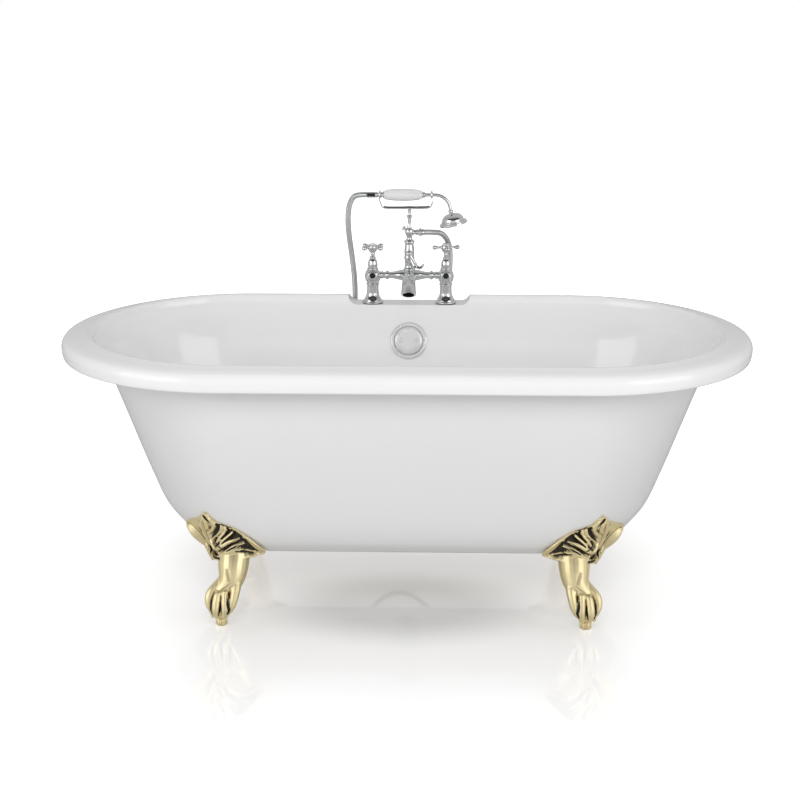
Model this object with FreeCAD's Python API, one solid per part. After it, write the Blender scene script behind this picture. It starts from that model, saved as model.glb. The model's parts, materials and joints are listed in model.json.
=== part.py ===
import FreeCAD, Part
import math
import os

from FreeCAD import Placement, Rotation, Vector

# Double-skinned roll-top bath on four claw feet, with a pillar bath and shower mixer on a
# lowered deck in the rear rim.  Millimetres.  The origin is on the floor under the middle of
# the bath: +X along its length, +Y to the rear, where the mixer stands, and +Z up.

# ---------------------------------------------------------------- driving dimensions
# bath shell
bath_length = 1550.0
bath_width = 776.0
rim_height = 620.0
rim_band = 48.0
rim_width_end = 73.0
rim_width_side = 58.0
shell_wall = 6.0
roll_crown = 0.80
crest_flat = 0.02
basin_floor_end_inset = 363.0
basin_floor_side_inset = 235.0

# outer skirt and base board
skirt_bottom = 160.0
skirt_wall = 5.0
skirt_top_gap = 1.0
skirt_bottom_end_inset = 273.0
skirt_bottom_side_inset = 172.0
skirt_flange = 62.0
board_thickness = 18.0
board_edge_gap = 3.0

# deck for the mixer
deck_drop = 24.0
deck_length = 298.0
deck_end_radius = 21.0
tap_setback = 36.0
tap_centres = 180.0
tap_hole_clearance = 0.8

# claw feet
foot_end_setback = 372.0
foot_side_setback = 136.0
foot_angle = 60.0
paw_half_width = 35.0
paw_half_depth = 41.0
ankle_half_width = 26.0
shank_half_width = 37.0
toe_count = 4
toe_radius = 11.5
toe_pitch = 16.0
claw_length = 15.0
toe_rise = 32.0
leaf_thickness = 12.0
leaf_outer_reach = 122.0
leaf_inner_reach = 72.0
leaf_peak_height = 262.0
foot_fit_gap = 0.3
foot_pad_thickness = 9.0
foot_bolt_setback = 79.0
foot_bolt_spacing = 40.0
foot_bolt_radius = 4.0
foot_bolt_hole_gap = 0.4
foot_bolt_head_height = 5.3
foot_bolt_flats = 13.0
foot_nut_height = 5.0
foot_plate_thickness = 3.0
foot_plate_length = 76.0
foot_plate_width = 28.0

# levelling screws under the paws
levelling_pad_radius = 13.0
levelling_pad_height = 18.0
levelling_stem_radius = 5.0
levelling_stem_length = 40.0
levelling_nut_height = 6.0
levelling_nut_flats = 17.0
running_clearance = 0.05

# waste and overflow
waste_y = 40.0
waste_bore_radius = 26.0
waste_flange_radius = 35.0
waste_flange_height = 3.0
waste_tail_radius = 24.0
waste_tail_length = 24.0
waste_gasket_thickness = 2.0
waste_body_radius = 34.0
waste_body_height = 38.0
waste_outlet_radius = 23.9
waste_outlet_length = 28.0
waste_outlet_wall = 2.9
plug_radius = 22.0
plug_thickness = 4.0
plug_stem_radius = 3.0
plug_seal_radius = 2.0
overflow_height = 516.0
overflow_hole_radius = 24.0
overflow_ring_radius = 45.0
overflow_ring_height = 6.0
overflow_dial_radius = 34.0
overflow_dial_height = 10.0
overflow_dial_gap = 1.0
overflow_dimple_radius = 3.6
overflow_dimple_pitch = 36.0
overflow_shaft_radius = 5.0
overflow_body_radius = 28.0
overflow_body_depth = 11.0
duct_width = 38.0
duct_depth = 12.0
duct_wall = 2.0
duct_bend_rise = 57.0
cable_radius = 2.0

# mixer: pillars, bridge and spout (heights above the washers)
washer_thickness = 2.0
flange_radius = 25.5
column_radius = 12.7
ball_height = 66.0
ball_radius = 18.5
boss_radius = 7.5
bonnet_seat = 81.0
tail_radius = 13.2
tail_length = 62.0
connector_length = 40.0
relief_width = 3.0
tail_bore_radius = 10.0
back_nut_flats = 33.0
back_nut_height = 8.0
arm_height = 68.0
arm_radius = 8.5
arm_flare_radius = 12.8
arm_ring_radius = 11.0
arm_ring_offset = 55.0
hub_radius = 18.0
hub_bottom = 50.0
hub_top = 81.0
spout_reach = 88.0
spout_mouth_height = 41.0
spout_mouth_radius = 17.0
spout_bore_radius = 12.5

# mixer: valves and cross handles
bonnet_radius = 11.5
bonnet_height = 35.0
spindle_radius = 4.5
handle_bottom = 122.0
handle_hub_radius = 12.0
handle_hub_height = 21.0
spoke_radius = 2.9
spoke_height = 137.0
spoke_tip_radius = 5.4
spoke_reach = 28.5
cap_radius = 7.6
cap_height = 5.0

# mixer: diverter, shower outlet and cradle
tower_radius = 12.0
tower_top = 158.0
lever_height = 124.0
lever_hub_radius = 7.5
lever_spindle_radius = 4.0
lever_length = 43.0
lever_angle = 35.0
lever_thickness = 5.0
tee_top = 188.0
tee_radius = 10.0
outlet_height = 170.0
outlet_reach = 24.0
outlet_radius = 6.5
hose_nut_length = 12.0
hose_nut_radius = 10.0
stem_radius = 4.0
stem_ring_height = 213.0
stem_ring_radius = 6.6
cradle_height = 235.0
cradle_rod_radius = 2.9
cradle_bend_radius = 11.0
fork_left = 72.6
fork_right = 54.0
fork_gap = 0.4
fork_rise = 9.0

# handset (along X, at its own height above the washers)
handset_height = 266.0
grip_start = 108.0
grip_end = 75.0
grip_radius = 7.6
tail_neck_radius = 4.6
barrel_start = 62.0
barrel_end = 31.0
barrel_radius = 15.0
barrel_end_radius = 9.0
ferrule_length = 9.0
neck_radius = 3.6
neck_bore_radius = 2.4
neck_bend_start = 62.0
neck_bend_radius = 37.0
neck_bend_turn = 77.0
neck_straight = 5.0
rose_nut_radius = 6.4
rose_nut_length = 6.0
bell_length = 30.0
bell_radius = 34.0
bell_wall = 1.6
rose_plate_thickness = 3.0
rose_hole_radius = 1.2
rose_hole_rings = 3

# shower hose
hose_radius = 6.8

# ---------------------------------------------------------------- derived places
half_length = bath_length / 2
half_width = bath_width / 2
rim_bottom = rim_height - rim_band
deck_z = rim_height - deck_drop
foot_x = half_length - foot_end_setback
foot_y = half_width - foot_side_setback
tap_y = half_width - tap_setback
tap_z = deck_z + washer_thickness
basin_floor = skirt_bottom + skirt_wall + board_thickness + shell_wall
board_bottom = skirt_bottom + skirt_wall
board_top = board_bottom + board_thickness
tap_x = tap_centres / 2

X = Vector(1, 0, 0)
Y = Vector(0, 1, 0)
Z = Vector(0, 0, 1)
O = Vector(0, 0, 0)

parts = {}


# ---------------------------------------------------------------- helpers
def moved(shape, point, direction=Z, spin=0.0):
    """A copy of a shape made round the origin along Z, spun, turned to a direction and moved."""
    copy = shape.copy()
    turn = Rotation(Z, direction).multiply(Rotation(Z, spin))
    copy.Placement = Placement(point, turn).multiply(copy.Placement)
    return copy


def turned(profile):
    """A solid of revolution about Z.  Entries (r, z) are joined by straight lines; an entry
    (r through, z through, r, z) is reached by an arc."""
    edges = []
    last = Vector(profile[0][0], 0, profile[0][1])
    first = last
    for entry in profile[1:]:
        point = Vector(entry[-2], 0, entry[-1])
        if len(entry) == 4:
            edges.append(Part.Arc(last, Vector(entry[0], 0, entry[1]), point).toShape())
        else:
            edges.append(Part.makeLine(last, point))
        last = point
    if (last - first).Length > 1e-6:
        edges.append(Part.makeLine(last, first))
    face = Part.Face(Part.Wire(edges))
    return solid_of(face.revolve(O, Z, 360))


def solid_of(shape):
    """The shape as one clean solid where it holds just one."""
    if shape.ShapeType != "Solid" and len(shape.Solids) == 1:
        return shape.Solids[0]
    return shape


def dome(radius, low, high):
    """The profile entry for a spherical cap, from its rim at (radius, low) to its top."""
    ball = (radius ** 2 + (high - low) ** 2) / (2 * (high - low))
    half = math.asin(radius / ball) / 2
    return (ball * math.sin(half), high - ball + ball * math.cos(half), 0, high)


def cylinder(radius, length, point=O, direction=Z):
    return Part.makeCylinder(radius, length, point, direction)


def box(size_x, size_y, size_z, low):
    return Part.makeBox(size_x, size_y, size_z, low)


def ring(outer, inner, height, point=O, direction=Z):
    return cylinder(outer, height, point, direction).cut(cylinder(inner, height, point, direction))


def hexagon(flats, height, point=O, spin=0.0):
    """A hexagonal prism standing on a point."""
    corner = flats / math.sqrt(3)
    corners = []
    for step in range(7):
        angle = math.radians(60 * step + spin)
        corners.append(point + Vector(corner * math.cos(angle), corner * math.sin(angle), 0))
    return Part.Face(Part.makePolygon(corners)).extrude(Vector(0, 0, height))


def stadium(length_half, width_half, height):
    """A closed outline with straight sides and round ends."""
    straight = length_half - width_half
    slant = width_half * math.sqrt(0.5)
    edges = []
    for side in (1, -1):
        centre = side * straight
        front = Vector(centre, -side * width_half, height)
        tip = Vector(side * length_half, 0, height)
        back = Vector(centre, side * width_half, height)
        front_middle = Vector(centre + side * slant, -side * slant, height)
        back_middle = Vector(centre + side * slant, side * slant, height)
        edges.append(Part.Arc(front, front_middle, tip).toShape())
        edges.append(Part.Arc(tip, back_middle, back).toShape())
        edges.append(Part.makeLine(back, Vector(-centre, side * width_half, height)))
    return Part.Wire(edges)


def eased(levels, spacing=14.0):
    """The levels with more between them, on a smooth curve that never overshoots them."""
    runs = [math.dist(first, second) for first, second in zip(levels, levels[1:])]
    rates = [[(second[column] - first[column]) / run for column in range(3)]
             for first, second, run in zip(levels, levels[1:], runs)]
    tangents = [rates[0]]
    for before, after in zip(rates, rates[1:]):
        tangents.append([2 * a * b / (a + b) if a * b > 0 else 0.0 for a, b in zip(before, after)])
    tangents.append(rates[-1])
    finer = []
    for index, run in enumerate(runs):
        first, second = levels[index], levels[index + 1]
        leave, arrive = tangents[index], tangents[index + 1]
        steps = max(1, round(run / spacing))
        for step in range(steps):
            t = step / steps
            finer.append(tuple(
                first[k] * (1 + 2 * t) * (1 - t) ** 2 + leave[k] * run * t * (1 - t) ** 2
                + second[k] * t * t * (3 - 2 * t) - arrive[k] * run * t * t * (1 - t)
                for k in range(3)))
    return finer + [levels[-1]]


def stacked(levels, grow=0.0):
    """A smooth solid through outlines given as (height, end inset, side inset)."""
    outlines = []
    for height, end, side in sorted(levels):
        outlines.append(stadium(half_length - end + grow, half_width - side + grow, height))
    return solid_of(Part.makeLoft(outlines, True, False))


def slope(levels, index, column):
    """How fast an inset changes with height at one level."""
    below = levels[max(index - 1, 0)]
    above = levels[min(index + 1, len(levels) - 1)]
    return (above[column] - below[column]) / (above[0] - below[0])


def walled(levels, wall, inward):
    """The levels moved down and sideways by a wall, square to the surface they describe."""
    moved_levels = []
    for index, (height, end, side) in enumerate(levels):
        end_slope = slope(levels, index, 1)
        side_slope = slope(levels, index, 2)
        drop = -wall * abs(side_slope) / math.hypot(1, side_slope)
        new_end = end + end_slope * drop + inward * wall * math.hypot(1, end_slope)
        new_side = side + side_slope * drop + inward * wall * math.hypot(1, side_slope)
        moved_levels.append((height + drop, new_end, new_side))
    return moved_levels


def inset_at(levels, height, column):
    """The inset at a height, between the two nearest levels."""
    ordered = sorted(levels)
    for low, high in zip(ordered, ordered[1:]):
        if low[0] <= height <= high[0]:
            share = (height - low[0]) / (high[0] - low[0])
            return low[column] + share * (high[column] - low[column])
    return ordered[0][column] if height < ordered[0][0] else ordered[-1][column]


def rounded_path(points, radii):
    """Straight runs through the points, joined by tangent arcs of the given radii."""
    edges = []
    start = points[0]
    for before, corner, after, radius in zip(points, points[1:], points[2:], radii):
        come = (corner - before).normalize()
        leave = (after - corner).normalize()
        half_turn = come.getAngle(leave) / 2
        reach = radius * math.tan(half_turn)
        first = corner - come * reach
        last = corner + leave * reach
        inwards = (leave - come).normalize()
        middle = corner + inwards * (radius / math.cos(half_turn) - radius)
        edges.append(Part.LineSegment(start, first).toShape())
        edges.append(Part.Arc(first, middle, last).toShape())
        start = last
    edges.append(Part.LineSegment(start, points[-1]).toShape())
    return Part.Wire(edges)


def rod(points, radius, radii):
    """A round rod along a rounded path."""
    path = rounded_path(points, radii)
    heading = (points[1] - points[0]).normalize()
    section = Part.Wire([Part.Circle(points[0], heading, radius).toShape()])
    return solid_of(path.makePipeShell([section], True, True))


def bend_radii(points):
    """The largest arc that each corner's two runs allow."""
    radii = []
    for before, corner, after in zip(points, points[1:], points[2:]):
        shorter = min((corner - before).Length, (after - corner).Length)
        half_turn = (corner - before).getAngle(after - corner) / 2
        radii.append(0.45 * shorter / math.tan(half_turn))
    return radii


def ribbon(points, thickness):
    """A flat face in the YZ plane, of one thickness, along points given as (y, z)."""
    left = []
    right = []
    for index, (y, z) in enumerate(points):
        normals = []
        for first, second in zip(points[max(index - 1, 0):], points[max(index, 1):index + 2]):
            along = Vector(0, second[0] - first[0], second[1] - first[1]).normalize()
            normals.append(Vector(0, -along.z, along.y))
        across = normals[0] if len(normals) == 1 else (normals[0] + normals[1]).normalize()
        reach = thickness / 2 / across.dot(normals[0])
        left.append(Vector(0, y, z) + across * reach)
        right.append(Vector(0, y, z) - across * reach)
    outline = left + right[::-1]
    return Part.Face(Part.makePolygon(outline + [outline[0]]))


def oval_ring(centre_u, half_depth, half_width_v, height):
    """A closed smooth outline through eight points of an ellipse."""
    points = []
    for step in range(8):
        angle = math.tau * step / 8
        points.append(Vector(centre_u + half_depth * math.cos(angle),
                             half_width_v * math.sin(angle), height))
    curve = Part.BSplineCurve()
    curve.interpolate(points, PeriodicFlag=True)
    return Part.Wire([curve.toShape()])


# ---------------------------------------------------------------- bath shell
def share_level(height, share):
    """A level whose insets are a share of the rim's width."""
    return (height, share * rim_width_end, share * rim_width_side)


def lip_level(height, end, side):
    """A level of the basin's wall, measured inwards from the lip."""
    return (height, rim_width_end + end, rim_width_side + side)


roll_levels = eased([
    share_level(rim_bottom, 0.04),
    share_level(rim_bottom + 8, 0.01),
    share_level(rim_bottom + 20, 0.0),
    share_level(rim_height - 19, 0.03),
    share_level(rim_height - 11, 0.12),
    share_level(rim_height - 6.5, 0.30),
    share_level(rim_height - 3.2, 0.55),
    share_level(rim_height, roll_crown - crest_flat),
], 5.0)
basin_levels = eased([
    share_level(rim_height, roll_crown + crest_flat),
    share_level(rim_height - 1.6, 0.91),
    share_level(rim_height - 6, 0.975),
    lip_level(rim_height - 16, 0, 0),
    lip_level(rim_height - 28, 9, 5),
    lip_level(rim_height - 46, 27, 17),
    lip_level(rim_height - 70, 38, 30),
    lip_level(rim_height - 104, 51, 45),
    lip_level(rim_height - 170, 76, 60),
    lip_level(rim_height - 240, 103, 74),
    lip_level(rim_height - 320, 138, 90),
    lip_level(basin_floor + 51, 172, 108),
    lip_level(basin_floor + 21, 203, 128),
    lip_level(basin_floor + 7, 232, 152),
    lip_level(basin_floor, 270, 188),
])
skirt_levels = eased([
    (skirt_bottom, skirt_bottom_end_inset, skirt_bottom_side_inset),
    (skirt_bottom + 30, 248, 147),
    (skirt_bottom + 70, 218, 130),
    (skirt_bottom + 140, 189, 114),
    (skirt_bottom + 290, 135, 85),
    (rim_bottom + 2, 90, 64),
])


def deck_cutter(grow):
    """The space above the mixer's deck, with hollow quarter-round ends."""
    bottom = deck_z - grow
    radius = deck_end_radius
    flat = deck_length / 2 - radius
    top = rim_height + 1
    near = half_width - rim_width_side - 12
    slant = (radius - grow) * math.sqrt(0.5)
    edges = []
    last = Vector(-flat - radius - grow, near, top)
    for side in (-1, 1):
        centre = Vector(side * flat, near, bottom + radius + grow)
        outer = centre + Vector(side * (radius + grow), 0, 0)
        lower = centre + Vector(0, 0, -radius - grow)
        middle = centre + Vector(side * (radius + grow), 0, -radius - grow) * math.sqrt(0.5)
        if side < 0:
            edges.append(Part.makeLine(last, outer))
            edges.append(Part.Arc(outer, middle, lower).toShape())
            last = lower
        else:
            edges.append(Part.makeLine(last, lower))
            edges.append(Part.Arc(lower, middle, outer).toShape())
            edges.append(Part.makeLine(outer, Vector(outer.x, near, top)))
            edges.append(Part.makeLine(Vector(outer.x, near, top), Vector(-outer.x, near, top)))
    return Part.Face(Part.Wire(edges)).extrude(Vector(0, rim_width_side + 30, 0))


def overflow_frame():
    """The point on the basin's rear wall under the overflow, and the wall's normal there."""
    reach = overflow_ring_radius
    above = half_width - inset_at(basin_levels, overflow_height + reach, 2)
    below = half_width - inset_at(basin_levels, overflow_height - reach, 2)
    wall_y = half_width - inset_at(basin_levels, overflow_height, 2)
    normal = Vector(0, -2 * reach, above - below).normalize()
    return Vector(0, wall_y, overflow_height), normal


def make_bath_shell():
    roll = stacked(roll_levels)
    basin = stacked(basin_levels)
    wall_levels = [level for level in basin_levels if level[0] <= rim_height - 16]
    outer_levels = walled(wall_levels[:-1], shell_wall, -1)
    floor_height, floor_end, floor_side = basin_levels[-1]
    outer_levels.append((floor_height - shell_wall, floor_end, floor_side))
    basin_outside = stacked(outer_levels)
    channel_levels = walled(roll_levels, shell_wall, 1)
    channel_levels[0] = (rim_bottom - 1, channel_levels[0][1], channel_levels[0][2])
    channel = stacked(channel_levels).cut(deck_cutter(shell_wall)).cut(basin_outside)
    mouth = Part.Face(stadium(half_length - basin_levels[0][1], half_width - basin_levels[0][2],
                              rim_height)).extrude(Vector(0, 0, 5))
    shell = roll.fuse(basin_outside).cut(channel).cut(basin).cut(mouth).cut(deck_cutter(0))
    place, normal = overflow_frame()
    shell = shell.cut(cylinder(overflow_hole_radius, 60, place - normal * 30, normal))
    shell = shell.cut(cylinder(waste_bore_radius, 40, Vector(0, waste_y, basin_floor - 20)))
    for side in (-1, 1):
        hole = Vector(side * tap_x, tap_y, deck_z - 30)
        shell = shell.cut(cylinder(tail_radius + tap_hole_clearance, 60, hole))
    return solid_of(shell), basin_outside


def make_skirt(basin_outside):
    outer = stacked(skirt_levels)
    inner_levels = [(board_bottom, inset_at(skirt_levels, board_bottom, 1) + skirt_wall,
                     inset_at(skirt_levels, board_bottom, 2) + skirt_wall)]
    for height, end, side in skirt_levels[1:-1]:
        inner_levels.append((height, end + skirt_wall, side + skirt_wall))
    top, top_end, top_side = skirt_levels[-1]
    inner_levels.append((top, top_end + skirt_wall, top_side + skirt_wall))
    hole = Part.Face(stadium(half_length - skirt_bottom_end_inset - skirt_flange,
                             half_width - skirt_bottom_side_inset - skirt_flange,
                             skirt_bottom - 1)).extrude(Vector(0, 0, skirt_wall + 2))
    return solid_of(outer.cut(stacked(inner_levels)).cut(hole).cut(basin_outside))


def make_board():
    """The board under the basin's floor, slotted for the waste and the overflow duct."""
    end = inset_at(skirt_levels, board_bottom, 1) + skirt_wall + board_edge_gap
    side = inset_at(skirt_levels, board_bottom, 2) + skirt_wall + board_edge_gap
    board = Part.Face(stadium(half_length - end, half_width - side, board_bottom)).extrude(
        Vector(0, 0, board_thickness))
    slot = waste_body_radius + 4
    board = board.cut(cylinder(slot, 60, Vector(0, waste_y, board_bottom - 20)))
    board = board.cut(box(duct_width + 24, half_width, 60,
                          Vector(-duct_width / 2 - 12, waste_y, board_bottom - 20)))
    return solid_of(board)


# ---------------------------------------------------------------- claw feet
def foot_to_bath(shape):
    """From the foot's own frame, +X outwards from the bath, to its place under the bath."""
    copy = shape.copy()
    copy.Placement = Placement(Vector(foot_x, foot_y, 0), Rotation(Z, foot_angle)).multiply(
        copy.Placement)
    return copy


paw_bottom = levelling_pad_height + foot_fit_gap + levelling_nut_height
leg_rings = [
    (paw_bottom, 4, paw_half_depth - 15, paw_half_width - 14),
    (paw_bottom + 9, 8, paw_half_depth - 4, paw_half_width - 4),
    (paw_bottom + 30, 8, paw_half_depth, paw_half_width),
    (paw_bottom + 54, -1, paw_half_depth - 6, paw_half_width - 2),
    (paw_bottom + 70, -12, ankle_half_width + 1, ankle_half_width + 4),
    (paw_bottom + 84, -22, ankle_half_width - 3, ankle_half_width),
    (paw_bottom + 104, -33, ankle_half_width - 2, shank_half_width - 6),
    (paw_bottom + 126, -45, ankle_half_width + 1, shank_half_width),
    (paw_bottom + 148, -58, ankle_half_width + 4, shank_half_width + 6),
]
bolt_places = [Vector(-foot_bolt_setback, side * foot_bolt_spacing / 2, 0) for side in (-1, 1)]


def leaf_outline(depth):
    """The leaf that spreads over the skirt's corner, as an outline seen from outside, with its
    sideways places towards the bath's end, extruded inwards along X."""
    peak = leaf_peak_height
    outer = leaf_outer_reach
    inner = -leaf_inner_reach
    corners = [
        (outer, peak - 56), (outer - 10, peak - 36), (outer - 40, peak - 26),
        (outer - 65, peak - 17), (outer - 82, peak), (outer - 95, peak - 12),
        (outer - 109, peak - 21), (-12, peak - 25), (inner + 38, peak - 34),
        (inner + 22, peak - 50), (inner + 8, peak - 70), (inner, peak - 96),
        (inner + 16, skirt_bottom - leaf_thickness - 1), (outer - 52, skirt_bottom - leaf_thickness - 1),
        (outer - 22, peak - 92), (outer - 4, peak - 72),
    ]
    points = [Vector(20, -across, height) for across, height in corners]
    return Part.Face(Part.makePolygon(points + [points[0]])).extrude(Vector(-depth, 0, 0))


def make_foot(skirt_room, leaf_outside):
    """The claw foot at the rear right, in its place."""
    leg = Part.makeLoft([oval_ring(centre, depth, width, height)
                         for height, centre, depth, width in leg_rings], True, False)
    leg = solid_of(leg)
    for index in range(toe_count):
        across = (index - (toe_count - 1) / 2) * toe_pitch
        reach = paw_half_depth - 8 - abs(across) * 0.3
        knuckle = Part.makeSphere(toe_radius, Vector(reach, across, paw_bottom + toe_rise))
        claw = Part.makeCone(toe_radius * 0.7, 1.5, claw_length + toe_radius / 2,
                             Vector(reach + 3, across, paw_bottom + toe_rise - 6), Vector(-0.3, 0, -1))
        leg = leg.fuse(knuckle).fuse(claw)
    leg = foot_to_bath(leg)
    leaf = foot_to_bath(leaf_outline(foot_bolt_setback + 50)).common(leaf_outside)
    foot = leg.fuse(leaf).cut(skirt_room)
    ground = Vector(-bath_length, -bath_length, 0)
    foot = foot.cut(box(2 * bath_length, 2 * bath_length, paw_bottom, ground))
    stem = levelling_stem_radius + running_clearance
    tools = [cylinder(stem, levelling_stem_length + 4, Vector(0, 0, paw_bottom - 2))]
    for place in bolt_places:
        tools.append(cylinder(foot_bolt_radius + foot_bolt_hole_gap, 80, place + Z * 120))
        tools.append(cylinder(foot_bolt_flats * 0.8, 60,
                              place + Z * (skirt_bottom - foot_pad_thickness - 60)))
    for tool in tools:
        foot = foot.cut(foot_to_bath(tool))
    return solid_of(foot)


def make_foot_bolts():
    """The two hexagon bolts of one foot, from below the pad up through board and plate."""
    bolts = []
    head_top = skirt_bottom - foot_pad_thickness
    length = board_top + foot_plate_thickness + foot_nut_height + 1 - head_top
    for place in bolt_places:
        low = place + Z * (head_top - foot_bolt_head_height)
        head = hexagon(foot_bolt_flats, foot_bolt_head_height, low)
        bolts.append(head.fuse(cylinder(foot_bolt_radius, length + foot_bolt_head_height, low)))
    return [foot_to_bath(bolt.removeSplitter()) for bolt in bolts]


def make_foot_nuts():
    nuts = []
    for place in bolt_places:
        low = place + Z * (board_top + foot_plate_thickness)
        nut = hexagon(foot_bolt_flats, foot_nut_height, low)
        nuts.append(foot_to_bath(nut.cut(cylinder(foot_bolt_radius, 20, low - Z))))
    return nuts


def make_foot_plate():
    low = Vector(-foot_bolt_setback - foot_plate_width / 2, -foot_plate_length / 2, board_top)
    plate = box(foot_plate_width, foot_plate_length, foot_plate_thickness, low)
    for place in bolt_places:
        plate = plate.cut(cylinder(foot_bolt_radius + foot_bolt_hole_gap, 40,
                                   place + Z * (board_top - 20)))
    return foot_to_bath(plate)


def foot_bolt_holes():
    """The holes for one foot's bolts through skirt and board."""
    holes = []
    for place in bolt_places:
        holes.append(foot_to_bath(cylinder(foot_bolt_radius + foot_bolt_hole_gap, 60,
                                           place + Z * (skirt_bottom - 20))))
    return holes


def make_levelling_screw():
    pad = levelling_pad_radius
    height = levelling_pad_height
    stem = levelling_stem_radius
    top = height + levelling_stem_length
    profile = [(0, 0), (pad - 2, 0), (pad, 2), (pad, height * 0.4),
               (pad * 0.96, height * 0.85, stem + 2, height),
               (stem, height), (stem, top - 1), (stem - 1, top), (0, top)]
    return foot_to_bath(turned(profile))


def make_levelling_nut():
    low = Vector(0, 0, levelling_pad_height + foot_fit_gap)
    nut = hexagon(levelling_nut_flats, levelling_nut_height, low)
    return foot_to_bath(nut.cut(cylinder(levelling_stem_radius + running_clearance, 20, low - Z)))


def four_corners(shape):
    """A shape made at the rear right, and its mirror images at the other three corners."""
    across = shape.mirror(O, X)
    return {
        "rear_right": shape,
        "rear_left": across,
        "front_right": shape.mirror(O, Y),
        "front_left": across.mirror(O, Y),
    }


# ---------------------------------------------------------------- waste and overflow
def make_waste():
    """The waste's pieces, round Z at the basin's floor."""
    floor = basin_floor
    under = floor - shell_wall
    bore = waste_tail_radius - 3
    flange_top = floor + waste_flange_height
    flange = turned([(bore, floor - waste_tail_length), (waste_tail_radius, floor - waste_tail_length),
                     (waste_tail_radius, floor), (waste_flange_radius, floor),
                     (waste_flange_radius - 1, floor + 2, waste_flange_radius - 5, flange_top),
                     (bore, flange_top)])
    guide_low = floor - waste_tail_length
    hub = cylinder(plug_stem_radius + 3, 8, Vector(0, 0, guide_low))
    for angle in (0, 60, 120):
        bar = box(bore * 2 + 2, 3, 8, Vector(-bore - 1, -1.5, guide_low))
        hub = hub.fuse(moved(bar, O, Z, angle))
    hub = hub.common(cylinder(bore + 1, 60, Vector(0, 0, guide_low - 20)))
    flange = flange.fuse(hub).cut(cylinder(plug_stem_radius + running_clearance, 60,
                                           Vector(0, 0, guide_low - 20)))
    gasket = ring(waste_body_radius, waste_bore_radius, waste_gasket_thickness,
                  Vector(0, 0, under - waste_gasket_thickness))
    body_top = under - waste_gasket_thickness
    body_low = body_top - waste_body_height
    bottom = body_low - waste_outlet_length
    outlet_bore = waste_outlet_radius - waste_outlet_wall
    body = turned([(waste_tail_radius, body_top), (waste_body_radius, body_top),
                   (waste_body_radius, body_low + 6), (waste_outlet_radius, body_low),
                   (waste_outlet_radius, bottom), (outlet_bore, bottom),
                   (outlet_bore, body_low + 3), (waste_body_radius - 3, body_low + 9),
                   (waste_body_radius - 3, body_top - 6), (waste_tail_radius, body_top - 6)])
    plug_low = flange_top + foot_fit_gap
    plug_top = plug_low + plug_thickness
    stem_low = guide_low - 4
    edge = waste_tail_radius + 1
    plug = turned([(0, stem_low), (plug_stem_radius, stem_low), (plug_stem_radius, plug_low),
                   (edge, plug_low), (edge, plug_low + 1),
                   dome(edge, plug_low + 1, plug_top)])
    seal_major = bore - plug_seal_radius - 1
    seal = Part.makeTorus(seal_major, plug_seal_radius, Vector(0, 0, plug_low - plug_seal_radius))
    seal = seal.cut(plug)
    place = Vector(0, waste_y, 0)
    return [moved(piece, place) for piece in (solid_of(flange), gasket, body, plug, seal)]


def make_overflow(shell):
    """The overflow's ring, gasket, body and dial on the rear wall."""
    place, normal = overflow_frame()
    ring_r = overflow_ring_radius
    top = overflow_ring_height
    recess = overflow_dial_radius + overflow_dial_gap
    face = top * 0.3
    shaft_hole = overflow_shaft_radius + 3
    trim = turned([(shaft_hole, -3), (ring_r, -3), (ring_r, top * 0.4),
                   (ring_r - 1.5, top * 0.85, ring_r - 5, top), (recess, top), (recess, face),
                   (shaft_hole, face)])
    trim = moved(trim, place, normal).cut(shell)
    trim = max(trim.Solids, key=lambda solid: solid.CenterOfMass.dot(normal))
    depth = shell_wall + overflow_body_depth
    body = turned([(overflow_shaft_radius + running_clearance, -depth), (overflow_body_radius, -depth),
                   (overflow_body_radius, -shell_wall + 2), (overflow_body_radius - 8, -shell_wall + 2),
                   (overflow_body_radius - 8, -depth + 2), (shaft_hole, -depth + 2),
                   (shaft_hole, -2), (overflow_shaft_radius + running_clearance, -2)])
    body = moved(body, place, normal).cut(shell)
    body = max(body.Solids, key=lambda solid: solid.Volume)
    low = face + foot_fit_gap + 1
    high = overflow_dial_height + face
    dial = turned([(0, -depth + 1), (overflow_shaft_radius, -depth + 1), (overflow_shaft_radius, low),
                   (overflow_dial_radius - 2, low), (overflow_dial_radius, low + 2),
                   (overflow_dial_radius, high - 3),
                   (overflow_dial_radius - 1, high - 1, overflow_dial_radius - 3, high), (0, high)])
    for side in (-1, 1):
        dimple = Vector(side * overflow_dimple_pitch / 2, 0, high - 3)
        dial = dial.cut(cylinder(overflow_dimple_radius, 6, dimple))
    return trim, body, moved(dial, place, normal)


def gap_middle(height):
    """The middle of the space between the basin's rear wall and the skirt."""
    basin = half_width - inset_at(basin_levels, height, 2) + shell_wall
    skirt = half_width - inset_at(skirt_levels, height, 2) - skirt_wall
    return (basin + skirt) / 2


def duct_route():
    """The way down behind the basin and under its floor to the waste, as (y, z)."""
    top = overflow_height - overflow_body_radius - 1
    under = board_bottom + duct_depth / 2 + 2
    low = board_top + duct_bend_rise
    route = [(gap_middle(height), height) for height in (top, (top + low) / 2, low)]
    route.append((gap_middle(low) - 32, under + 14))
    route.append((gap_middle(low) - 50, under))
    route.append((waste_y + waste_body_radius - 1, under))
    return route


def make_duct(waste_body, overflow_body):
    route = duct_route()
    outer = ribbon(route, duct_depth).extrude(X * duct_width)
    inner = ribbon(route, duct_depth - 2 * duct_wall).extrude(X * (duct_width - 2 * duct_wall))
    outer.translate(X * (-duct_width / 2))
    inner.translate(X * (duct_wall - duct_width / 2))
    return solid_of(outer.cut(inner).cut(waste_body).cut(overflow_body))


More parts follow.
